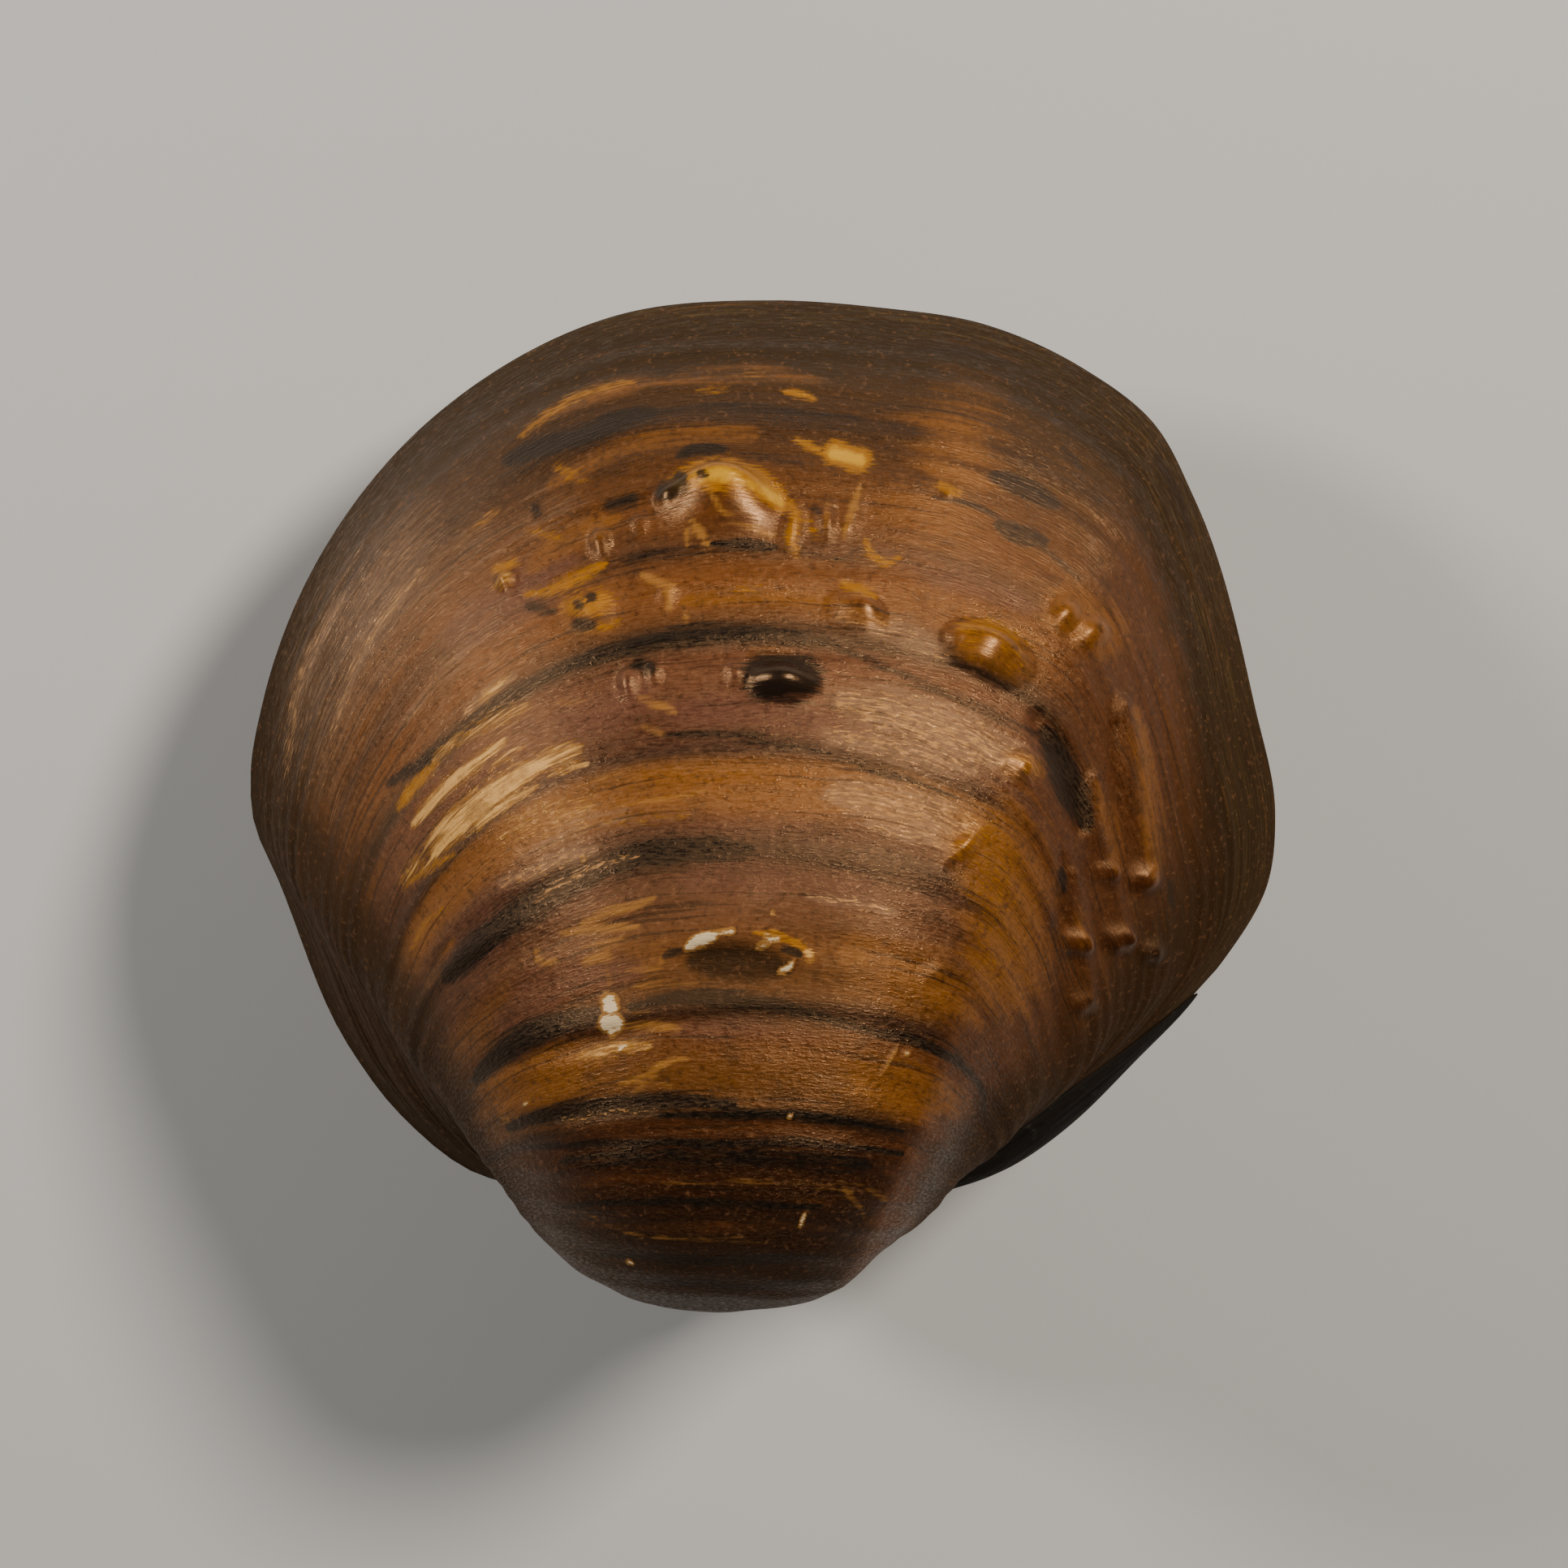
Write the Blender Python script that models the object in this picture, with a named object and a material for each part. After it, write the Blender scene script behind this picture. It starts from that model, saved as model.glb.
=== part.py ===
# Closed river mussel shell with low knobs: two valves and the ligament that joins them.
#
# Each valve grows as a coil. Its margin is one closed loop, and the shell at an earlier stage of
# growth is the same loop, smaller and swung about the hinge axis. Stage 1 is the margin of today
# and stage 0 the tip of the beak. Sizes are in millimetres in the shell's own frame: X towards
# the posterior end, Y from the hinge to the free edge, Z outwards through the right valve.

import math

import bmesh
import bpy
import numpy as np
from mathutils import Matrix, Vector

MM = 0.001
OTHER_SIDE = np.array([1.0, 1.0, -1.0])   # mirrors the right valve's form to the left

# Driving dimensions
SHELL_LENGTH = 70.0       # anterior to posterior end
VALVE_DEPTH = 23.0        # margin to the highest part of one valve
MARGIN_GAP = 0.3          # between the two valves along the margin
WALL_AT_MARGIN = 2.6      # width of the flat rim on the free edge
HINGE_PLATE = 4.6         # width of the rim under the beaks
HOLLOW_DEPTH = 18.4
HOLLOW_POLE = (-1.0, 20.0)
HOLLOW_ROUNDNESS = 2.2    # power of its domed section
HINGE_PLATE_Y = (4.0, 16.0)        # the rim widens to the hinge plate between these
LIGAMENT_THICKNESS = 1.8
LIGAMENT_GAP = 0.3
LIGAMENT_PLACES = (0.735, 0.878)   # its two ends, as places round the margin
LIGAMENT_REACH = 0.42     # how far back in growth it laps over each valve
LIGAMENT_SPAN = (0.06, 0.95)       # its blunt ends, as shares of a spindle's length
LIGAMENT_SPINDLE = (1.5, 0.6)      # powers that put its widest part in front and blunt its ends
LIGAMENT_SECTION = 2.5    # power of its rounded section
LIGAMENT_EDGE = 0.2       # thickness left at its side edges, as a share

# How the shell lies: turned about X and Y until its weight is over the belly of the left valve
REST_TURN_X = -10.7
REST_TURN_Y = 1.1
WORN_FLAT_DEPTH = 0.2     # rubbed off the lowest part of the left valve

# Margin: X and Y from the notch before the beaks, round the free edge, to the hinge behind
# the beaks. It is scaled to the shell's length.
MARGIN = [
    (-18.6, 2.5), (-24.7, 6.8), (-28.2, 11.4), (-33.1, 22.9), (-34.8, 27.0), (-35.0, 30.0),
    (-34.2, 34.9), (-31.8, 42.0), (-23.0, 54.1), (-9.5, 61.6), (0.0, 62.5), (8.0, 62.0),
    (15.0, 60.9), (21.8, 57.9), (26.7, 54.1), (29.5, 48.9), (33.6, 34.8), (35.0, 27.5),
    (34.5, 22.7), (31.6, 17.6), (22.6, 9.4), (16.6, 5.0), (11.6, 3.2), (-2.0, 2.3), (-13.5, 2.3)]

# Profile over the middle of a valve: distance from the hinge axis and height, free edge to beak
# tip. Its height is scaled to the valve's depth.
PROFILE = [
    (62.5, 0.0), (60.2, 3.4), (57.2, 7.4), (52.2, 12.1), (45.5, 16.2), (37.5, 19.6), (29.5, 21.9),
    (21.5, 23.0), (13.5, 22.9), (6.5, 21.4), (0.3, 18.8), (-3.9, 15.0), (-5.5, 10.8), (-5.3, 7.2),
    (-4.1, 4.2), (-2.4, 2.0), (-0.8, 0.5)]
COIL_CENTRE = -4.0        # X of the beak tips
WIDTH_POWER = 0.78        # how fast the width grows with the stage
BEAK_TAPER = 0.11         # stage below which the beak is pinched in
BEAK_TIP = 0.03           # stage at which the solid beak is closed

# Halts in growth, each a fine groove with a low shoulder on its outer side
GROWTH_RESTS = (0.32, 0.372, 0.44, 0.53, 0.605, 0.69, 0.77, 0.865, 0.94)
REST_HEIGHT = 0.28
REST_WIDTH = 0.011        # of the groove, in stages

# Folds across the growth lines on the posterior slope: place round the margin, height, width
FOLDS = [(0.572, -0.5, 0.012), (0.604, 0.6, 0.016), (0.636, -0.3, 0.012), (0.664, 0.4, 0.014)]
FOLD_STAGES = (0.42, 0.86)

# Relief fades out over these: stages next to the margin, and heights above the margin plane
MARGIN_FADE = 0.05
HEIGHT_FADE = (1.0, 3.0)

# Knobs: place round the margin (0 to 1), stage, length along the growth lines, width, height,
# turn in degrees
KNOB_FOOT = 1.6           # how far a knob's soft foot spreads, as an area
RIGHT_KNOBS = [
    (0.416, 0.474, 9.6, 3.6, 1.5, 0),
    (0.398, 0.815, 8.6, 4.4, 1.5, 0),
    (0.422, 0.665, 6.0, 3.0, 1.1, 0),
    (0.515, 0.717, 6.2, 4.8, 1.3, -12),
    (0.454, 0.727, 4.0, 3.0, 0.8, -20),
    (0.346, 0.736, 3.6, 3.0, 0.7, 15),
    (0.368, 0.671, 3.2, 2.6, 0.6, 20),
    (0.352, 0.789, 3.0, 3.4, 0.5, 0),
    (0.541, 0.781, 3.4, 3.0, 0.6, -30),
    (0.554, 0.790, 2.8, 3.0, 0.5, -30),
    (0.533, 0.641, 2.8, 3.0, 0.6, -30),
    (0.545, 0.651, 2.6, 2.8, 0.5, -30),
    (0.520, 0.568, 4.0, 3.0, 0.7, 35),
    (0.428, 0.781, 2.0, 4.0, 0.5, 0),
    (0.438, 0.790, 2.0, 4.0, 0.5, 0),
    (0.627, 0.672, 3.2, 3.0, 0.6, 0),
    (0.649, 0.733, 3.4, 3.2, 0.7, 0),
    (0.630, 0.605, 3.2, 3.0, 0.6, 0),
    (0.657, 0.666, 3.2, 3.2, 0.7, 0),
    (0.679, 0.714, 3.2, 3.0, 0.6, 0)]
LEFT_KNOBS = [
    (0.440, 0.770, 8.0, 4.2, 1.3, 0),
    (0.372, 0.700, 6.4, 3.6, 1.1, 10),
    (0.500, 0.640, 5.6, 4.0, 1.0, -15),
    (0.350, 0.820, 4.6, 3.4, 0.8, 0),
    (0.478, 0.850, 4.6, 3.4, 0.8, 0),
    (0.545, 0.735, 4.4, 3.8, 0.8, -25),
    (0.640, 0.690, 4.0, 3.6, 0.7, 0),
    (0.320, 0.600, 4.4, 3.2, 0.7, 20)]

# Points on each solid: places round the free edge and under the hinge, rows in the hollow, and
# rows on the outside, which lie at the beak's stages, beside the rests and over large knobs
RIGHT_COLUMNS = (64, 8)
LEFT_COLUMNS = (42, 7)
HOLLOW_ROWS = 5
HOLLOW_ROW_SPREAD = 0.8   # below 1, rows are closer together at the rim
HINGE_STARTS = 0.86
BEAK_STAGES = (0.05, 0.08, 0.115, 0.155, 0.2, 0.25)
WIDEST_STEP = 0.045       # between two rows, in stages
REST_ROW_OFFSET = 0.75    # of a rest's two rows from its middle, in groove widths
LARGE_KNOB = 6.0          # length from which a knob gets a row of its own
LIGAMENT_GRID = (15, 4)   # steps along it, and from the hinge over one valve
SLOPE_STEP = 0.002        # between the points that a direction is measured from


def smooth_curve(knots, values, places):
    """Cubic curve through the values, its slope at a knot weighted by the spans beside it."""
    knots = np.asarray(knots, float)
    values = np.asarray(values, float).reshape(len(knots), -1)
    span = np.diff(knots)[:, None]
    chord = np.diff(values, axis=0) / span
    middle = (chord[:-1] * span[1:] + chord[1:] * span[:-1]) / (span[:-1] + span[1:])
    slope = np.vstack([chord[:1], middle, chord[-1:]])
    index = np.clip(np.searchsorted(knots, places, side="right") - 1, 0, len(knots) - 2)
    width = span[index]
    t = (places - knots[index])[..., None] / width
    return ((2 * t**3 - 3 * t**2 + 1) * values[index]
            + (t**3 - 2 * t**2 + t) * width * slope[index]
            + (3 * t**2 - 2 * t**3) * values[index + 1]
            + (t**3 - t**2) * width * slope[index + 1])


def margin_points(places):
    """Points of today's margin at places 0 to 1 round the closed loop."""
    corners = np.array(MARGIN) * SHELL_LENGTH / np.ptp(np.array(MARGIN)[:, 0])
    count = len(corners)
    loop = np.vstack([corners[-3:], corners, corners[:4]])
    along = np.concatenate([[0.0], np.cumsum(np.linalg.norm(np.diff(loop, axis=0), axis=1))])
    start = along[3]
    length = along[3 + count] - start
    return smooth_curve(along, loop, start + (np.asarray(places) % 1.0) * length)


def coil_angle(stages):
    """How far the margin of an earlier stage is swung about the hinge axis, in radians."""
    across, height = np.array(PROFILE).T
    size = np.log(np.hypot(across, height) / across[0])
    angle = np.arctan2(height * VALVE_DEPTH / height.max(), across)
    return smooth_curve(size[::-1], angle[::-1], np.log(stages))[..., 0]


def coil_width(stages):
    """Width of an earlier stage as a share of the width today."""
    pinch = (1.0 - np.exp(-stages / BEAK_TAPER)) / (1.0 - math.exp(-1.0 / BEAK_TAPER))
    return stages ** WIDTH_POWER * pinch


def shell_surface(places, stages):
    """Plain outer surface of the right valve, before knobs and growth rests."""
    places, stages = np.broadcast_arrays(places, stages)
    margin = margin_points(places)
    angle = coil_angle(stages)
    x = COIL_CENTRE + coil_width(stages) * (margin[..., 0] - COIL_CENTRE)
    reach = stages * margin[..., 1]
    return np.stack([x, reach * np.cos(angle), reach * np.sin(angle)], axis=-1)


def directions(places, stages):
    """Unit vectors on the surface: along the growth line, across it and outwards."""
    low = np.maximum(stages - SLOPE_STEP, BEAK_TIP - SLOPE_STEP)
    high = np.minimum(stages + SLOPE_STEP, 1.0)
    along = (shell_surface(places + SLOPE_STEP, stages)
             - shell_surface(places - SLOPE_STEP, stages))
    across = shell_surface(places, high) - shell_surface(places, low)
    outward = np.cross(along, across)
    return [v / np.linalg.norm(v, axis=-1, keepdims=True) for v in (along, across, outward)]


def knob_height(points, knobs):
    """Height of the knobs at points of the surface: soft bumps on an oval foot."""
    height = np.zeros(points.shape[:-1])
    for place, stage, length, width, rise, turn in knobs:
        place = np.array([place])
        stage = np.array([stage])
        centre = shell_surface(place, stage)[0]
        along, across, _ = [v[0] for v in directions(place, stage)]
        offset = points - centre
        c, s = math.cos(math.radians(turn)), math.sin(math.radians(turn))
        a = offset @ (along * c + across * s) / (length / 2)
        b = offset @ (across * c - along * s) / (width / 2)
        near = np.linalg.norm(offset, axis=-1) < length + width
        height += np.where(near, rise * np.clip(1 - (a * a + b * b) / KNOB_FOOT, 0, 1) ** 2, 0)
    return height


def rest_height(stages, rests):
    """Groove and shoulder of each halt in growth."""
    height = np.zeros_like(stages)
    for rest in rests:
        t = (stages - rest) / REST_WIDTH
        height += REST_HEIGHT * t * np.exp(-t * t)
    return height


def fold_height(places, stages):
    """Folds that run across the growth lines on the posterior slope."""
    first, last = FOLD_STAGES
    fade = np.sin(np.pi * np.clip((stages - first) / (last - first), 0, 1))
    height = np.zeros_like(stages)
    for place, rise, width in FOLDS:
        height += rise * fade * np.exp(-((places - place) / width) ** 2)
    return height


def outer_surface(places, stages, knobs, rests):
    """Outer surface of a valve with its relief, kept above the margin plane."""
    places, stages = np.broadcast_arrays(places, stages)
    points = shell_surface(places, stages)
    outward = directions(places, stages)[2]
    relief = knob_height(points, knobs) + rest_height(stages, rests) + fold_height(places, stages)
    relief *= np.clip((1.0 - stages) / MARGIN_FADE, 0, 1)
    relief *= np.clip((points[..., 2] - HEIGHT_FADE[0]) / (HEIGHT_FADE[1] - HEIGHT_FADE[0]), 0, 1)
    points = points + outward * relief[..., None]
    points[..., 2] = np.maximum(points[..., 2], 0.0) + MARGIN_GAP / 2
    return points


def inner_margin(places):
    """Inner edge of the flat rim: wide under the beaks, narrow on the free edge."""
    edge = margin_points(places)
    tangent = margin_points(places + SLOPE_STEP) - margin_points(places - SLOPE_STEP)
    tangent /= np.linalg.norm(tangent, axis=-1, keepdims=True)
    inward = np.stack([tangent[..., 1], -tangent[..., 0]], axis=-1)
    near, far = HINGE_PLATE_Y
    hinge = np.clip((far - edge[..., 1]) / (far - near), 0, 1)[..., None]
    return edge + inward * (WALL_AT_MARGIN + (HINGE_PLATE - WALL_AT_MARGIN) * hinge)


def inner_surface(places, shares):
    """Hollow of a valve: a dome from the rim (share 1) to its deepest point (share 0)."""
    places, shares = np.broadcast_arrays(places, shares)
    pole = np.array(HOLLOW_POLE)
    flat = pole + (inner_margin(places) - pole) * shares[..., None]
    height = HOLLOW_DEPTH * (1.0 - shares ** HOLLOW_ROUNDNESS) + MARGIN_GAP / 2
    return np.concatenate([flat, height[..., None]], axis=-1)


def spread_places(free_count, hinge_count):
    """Places round the margin, closer together on the free edge than under the beaks."""
    free = np.linspace(0, HINGE_STARTS, free_count + 1)
    hinge = np.linspace(HINGE_STARTS, 1, hinge_count + 1)
    return np.concatenate([free, hinge[1:]])


def spread_stages(knobs, rests):
    """Stages from the beak tip to the margin: the rests, the large knobs and what lies between."""
    rows = [BEAK_TIP, 1.0, *BEAK_STAGES]
    rows += [rest + side * REST_WIDTH * REST_ROW_OFFSET for rest in rests for side in (-1, 1)]
    rows += [stage for _, stage, length, _, _, _ in knobs if length >= LARGE_KNOB]
    for low, high in zip(sorted(rows)[:-1], sorted(rows)[1:]):
        if high - low > WIDEST_STEP:
            rows.append((low + high) / 2)
    return np.array(sorted(rows))


def valve_rows(columns, knobs, rests):
    """Rows of points from the beak tip over the outside, the rim and the hollow to its pole."""
    places = spread_places(*columns)
    stages = spread_stages(knobs, rests)
    outer = outer_surface(places[None, :], stages[:, None], knobs, rests)
    outer[0] = outer[0, :-1].mean(axis=0)
    shares = np.linspace(1, 0, HOLLOW_ROWS + 1) ** HOLLOW_ROW_SPREAD
    inner = inner_surface(places[None, :], shares[:, None])
    return np.vstack([outer, inner])


def grid_solid(name, rows, base, material):
    """Closed solid from rows of points whose first and last columns meet."""
    row_count, column_count = rows.shape[:2]
    bm = bmesh.new()
    bmesh.ops.create_grid(bm, x_segments=column_count - 1, y_segments=row_count - 1, size=0.5)
    for vert in bm.verts:
        column = round((vert.co.x + 0.5) * (column_count - 1))
        row = round((vert.co.y + 0.5) * (row_count - 1))
        vert.co = rows[row, column] * MM
    bmesh.ops.remove_doubles(bm, verts=bm.verts, dist=1e-7)
    bmesh.ops.holes_fill(bm, edges=bm.edges)
    bmesh.ops.triangulate(bm, faces=[f for f in bm.faces if len(f.verts) > 4])
    bmesh.ops.recalc_face_normals(bm, faces=bm.faces)
    mesh = bpy.data.meshes.new(name)
    bm.to_mesh(mesh)
    bm.free()
    mesh.shade_smooth()
    mesh.set_sharp_from_angle(angle=math.radians(50))
    mesh.materials.append(material)
    solid = bpy.data.objects.new(name, mesh)
    solid.parent = base
    bpy.data.collections["mussel_shell"].objects.link(solid)
    return solid


def rest_turn():
    """Turn of the shell's own frame as it lies on its left valve."""
    return (Matrix.Rotation(math.radians(REST_TURN_X), 3, "X")
            @ Matrix.Rotation(math.radians(REST_TURN_Y), 3, "Y"))


def wear_flat(rows):
    """Rub the lowest part of the left valve flat, level with the ground it lies on."""
    down = -np.array(rest_turn().row[2])
    depth = rows @ down
    worn = np.minimum(depth, depth.max() - WORN_FLAT_DEPTH)
    return rows + (worn - depth)[..., None] * down


def ligament_rows(along_count, side_count):
    """Rings of the ligament: over the hinge edge of both valves and back under itself.

    A ring starts on the hinge edge, runs up over the right valve as far back in growth as the
    body there is thick, returns next to the shell, and does the same on the left valve.
    """
    places = np.linspace(*LIGAMENT_PLACES, along_count + 1)
    share = np.linspace(*LIGAMENT_SPAN, along_count + 1)
    forward, blunt = LIGAMENT_SPINDLE
    body = np.sin(np.pi * share ** forward) ** blunt
    steps = np.linspace(0, 1, side_count + 1)
    stages = 1.0 - LIGAMENT_REACH * body[:, None] * steps[None, :]
    wide_places = np.repeat(places[:, None], side_count + 1, axis=1)
    surface = shell_surface(wide_places, stages)
    outward = directions(wide_places, stages)[2]
    outward[:, 0, 2] = 0.0
    outward /= np.linalg.norm(outward, axis=-1, keepdims=True)
    section = np.sqrt(np.clip(1 - steps ** LIGAMENT_SECTION, LIGAMENT_EDGE ** 2, 1))
    thick = LIGAMENT_THICKNESS * body[:, None] * section[None, :]
    over = surface + outward * (LIGAMENT_GAP + thick)[..., None]
    under = surface + outward * LIGAMENT_GAP
    left_over = over * OTHER_SIDE
    left_under = under * OTHER_SIDE
    ring = [over, under[:, ::-1], left_under[:, 1:], left_over[:, :0:-1], over[:, :1]]
    return np.concatenate(ring, axis=1)


def shell_material(name, colour, roughness):
    material = bpy.data.materials.new(name)
    material.use_nodes = True
    shader = material.node_tree.nodes["Principled BSDF"]
    shader.inputs["Base Color"].default_value = (*colour, 1.0)
    shader.inputs["Roughness"].default_value = roughness
    shader.inputs["Metallic"].default_value = 0.0
    material.diffuse_color = (*colour, 1.0)
    return material


def settle(base, solids):
    """Turn the shell to its rest and put the middle of its underside at the origin."""
    base.rotation_euler = rest_turn().to_euler()
    turn = np.array(rest_turn())
    points = np.vstack([[v.co for v in solid.data.vertices] for solid in solids]) @ turn.T
    low, high = points.min(axis=0), points.max(axis=0)
    base.location = Vector((-(low[0] + high[0]) / 2, -(low[1] + high[1]) / 2, -low[2]))


def main():
    for old in list(bpy.data.objects):
        bpy.data.objects.remove(old, do_unlink=True)
    collection = bpy.data.collections.new("mussel_shell")
    bpy.context.scene.collection.children.link(collection)
    base = bpy.data.objects.new("shell_frame", None)
    collection.objects.link(base)

    brown = shell_material("brown_periostracum", (0.16, 0.075, 0.025), 0.35)
    dark = shell_material("dark_periostracum", (0.10, 0.055, 0.025), 0.4)
    horn = shell_material("dry_ligament", (0.09, 0.075, 0.05), 0.7)

    right_rows = valve_rows(RIGHT_COLUMNS, RIGHT_KNOBS, GROWTH_RESTS)
    right = grid_solid("right_valve", right_rows, base, brown)
    left_rows = valve_rows(LEFT_COLUMNS, LEFT_KNOBS, GROWTH_RESTS[1::2])
    left = grid_solid("left_valve", wear_flat(left_rows * OTHER_SIDE), base, dark)
    ligament = grid_solid("ligament", ligament_rows(*LIGAMENT_GRID), base, horn)
    settle(base, [right, left, ligament])
    bpy.context.view_layer.update()


main()
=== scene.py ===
# Closed river mussel shell with low knobs, lying on its left valve and seen from above
import math

import bmesh
import bpy
import numpy as np
from mathutils import Matrix, Vector


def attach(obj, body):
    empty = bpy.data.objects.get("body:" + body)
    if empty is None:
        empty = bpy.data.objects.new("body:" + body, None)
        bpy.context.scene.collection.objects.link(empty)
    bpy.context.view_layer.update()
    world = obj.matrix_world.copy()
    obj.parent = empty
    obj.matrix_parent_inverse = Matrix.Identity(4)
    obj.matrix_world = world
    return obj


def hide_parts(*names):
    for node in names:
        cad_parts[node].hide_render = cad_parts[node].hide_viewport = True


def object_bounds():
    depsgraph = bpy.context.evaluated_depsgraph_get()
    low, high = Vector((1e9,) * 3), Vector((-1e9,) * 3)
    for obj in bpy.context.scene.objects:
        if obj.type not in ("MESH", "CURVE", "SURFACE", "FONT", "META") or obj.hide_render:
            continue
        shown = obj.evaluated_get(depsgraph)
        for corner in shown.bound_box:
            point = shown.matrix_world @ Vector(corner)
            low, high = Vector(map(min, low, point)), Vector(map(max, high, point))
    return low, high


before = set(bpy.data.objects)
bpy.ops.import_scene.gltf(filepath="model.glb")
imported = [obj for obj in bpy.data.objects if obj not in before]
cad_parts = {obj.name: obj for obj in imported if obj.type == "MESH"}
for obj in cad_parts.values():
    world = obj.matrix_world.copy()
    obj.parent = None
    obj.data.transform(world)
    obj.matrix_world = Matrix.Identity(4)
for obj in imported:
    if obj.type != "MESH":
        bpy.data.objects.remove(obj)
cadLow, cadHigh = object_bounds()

mm = 0.001

# The form both valves grow by, in millimetres in the shell's own frame: X towards the posterior
# end, Y from the hinge to the free edge, Z outwards through the right valve
growthForm = {
    "margin": [
        (-18.6, 2.5), (-24.7, 6.8), (-28.2, 11.4), (-33.1, 22.9), (-34.8, 27), (-35, 30),
        (-34.2, 34.9), (-31.8, 42), (-23, 54.1), (-9.5, 61.6), (0, 62.5), (8, 62),
        (15, 60.9), (21.8, 57.9), (26.7, 54.1), (29.5, 48.9), (33.6, 34.8), (35, 27.5),
        (34.5, 22.7), (31.6, 17.6), (22.6, 9.4), (16.6, 5), (11.6, 3.2), (-2, 2.3),
        (-13.5, 2.3)],
    "profile": [  # over the middle of a valve, free edge to beak tip
        (62.5, 0), (60.2, 3.4), (57.2, 7.4), (52.2, 12.1), (45.5, 16.2), (37.5, 19.6),
        (29.5, 21.9), (21.5, 23), (13.5, 22.9), (6.5, 21.4), (0.3, 18.8), (-3.9, 15),
        (-5.5, 10.8), (-5.3, 7.2), (-4.1, 4.2), (-2.4, 2), (-0.8, 0.5)],
    "coilCentre": -4.0,
    "widthPower": 0.78,
    "beakTaper": 0.11,
    "beakTip": 0.03,
    "gap": 0.3,  # between the valves
    "rim": 2.6,  # flat edge of a valve
    "hingePlate": 4.6,
    "plateFade": (16.0, 12.0),  # starts at this height and is full so much lower
    "hollowDepth": 18.4,
    "hollowBulge": 2.2,  # higher for a flatter floor
    "hollowPole": (-1.0, 20.0),
    "middlePlace": 0.42,  # round the margin, straight up from the beak
    "slopeStep": 0.002,  # in places and stages, to take slopes over
    "restTurn": (-10.7, 1.1),  # degrees about X and Y, as the shell lies
    "restPlace": (-0.011, -27.0, 26.927),
    "viewCentre": (1.442, 29.451),  # the point the camera is square over
    "viewHeight": 330.0}  # of the camera, above the plane between the valves


def smoothCurve(knots, values, places):
    # cubic through the values, its slope at a knot weighted by the spans beside it
    knots = np.asarray(knots, float)
    values = np.asarray(values, float).reshape(len(knots), -1)
    span = np.diff(knots)[:, None]
    chord = np.diff(values, axis=0) / span
    middle = (chord[:-1] * span[1:] + chord[1:] * span[:-1]) / (span[:-1] + span[1:])
    slope = np.vstack([chord[:1], middle, chord[-1:]])
    index = np.clip(np.searchsorted(knots, places, side="right") - 1, 0, len(knots) - 2)
    width = span[index]
    t = (places - knots[index])[..., None] / width
    return ((2 * t**3 - 3 * t**2 + 1) * values[index]
            + (t**3 - 2 * t**2 + t) * width * slope[index]
            + (3 * t**2 - 2 * t**3) * values[index + 1]
            + (t**3 - t**2) * width * slope[index + 1])


def marginPoints(places):
    corners = np.array(growthForm["margin"])
    loop = np.vstack([corners[-3:], corners, corners[:4]])
    along = np.concatenate([[0.0], np.cumsum(np.linalg.norm(np.diff(loop, axis=0), axis=1))])
    start = along[3]
    length = along[3 + len(corners)] - start
    return smoothCurve(along, loop, start + (np.asarray(places) % 1.0) * length)


def shellSurface(places, stages):
    # the margin of an earlier stage is today's, smaller and swung about the hinge
    places, stages = np.broadcast_arrays(places, stages)
    margin = marginPoints(places)
    across, height = np.array(growthForm["profile"]).T
    size = np.log(np.hypot(across, height) / across[0])
    angle = smoothCurve(size[::-1], np.arctan2(height, across)[::-1], np.log(stages))[..., 0]
    taper = growthForm["beakTaper"]
    pinch = (1.0 - np.exp(-stages / taper)) / (1.0 - math.exp(-1.0 / taper))
    width = stages ** growthForm["widthPower"] * pinch
    x = growthForm["coilCentre"] + width * (margin[..., 0] - growthForm["coilCentre"])
    reach = stages * margin[..., 1]
    return np.stack([x, reach * np.cos(angle), reach * np.sin(angle)], axis=-1)


def outwardNormals(places, stages):
    step = growthForm["slopeStep"]
    low = np.maximum(stages - step, 0.9 * growthForm["beakTip"])  # never past the beak tip
    high = np.minimum(stages + step, 1.0)
    along = shellSurface(places + step, stages) - shellSurface(places - step, stages)
    across = shellSurface(places, high) - shellSurface(places, low)
    outward = np.cross(along, across)
    return outward / np.linalg.norm(outward, axis=-1, keepdims=True)


def innerMargin(places):
    edge, step = marginPoints(places), growthForm["slopeStep"]
    tangent = marginPoints(places + step) - marginPoints(places - step)
    tangent /= np.linalg.norm(tangent, axis=-1, keepdims=True)
    inward = np.stack([tangent[..., 1], -tangent[..., 0]], axis=-1)
    top, over = growthForm["plateFade"]
    hinge = np.clip((top - edge[..., 1]) / over, 0, 1)[..., None]
    rim, plate = growthForm["rim"], growthForm["hingePlate"]
    return edge + inward * (rim + (plate - rim) * hinge)


def seenPlaces(points):
    # where the camera sees each point, in millimetres on the plane between the valves
    centre = np.array(growthForm["viewCentre"])
    nearer = growthForm["viewHeight"] / (growthForm["viewHeight"] - points[..., 2:3])
    return centre + (points[..., :2] - centre) * nearer


def waves(x, y, count, xRate, yRate, seed):
    # smooth irregular field between about -1 and 1, always the same for a seed
    slowest, level = 0.35, 0.9
    rng = np.random.default_rng(seed)
    total = np.zeros(np.broadcast(x, y).shape)
    for _ in range(count):
        a, b = rng.uniform(-1, 1) * xRate, rng.uniform(slowest, 1) * yRate
        total += np.sin(2 * math.pi * (a * x + b * y + rng.uniform()))
    return total / math.sqrt(count) * level


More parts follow.
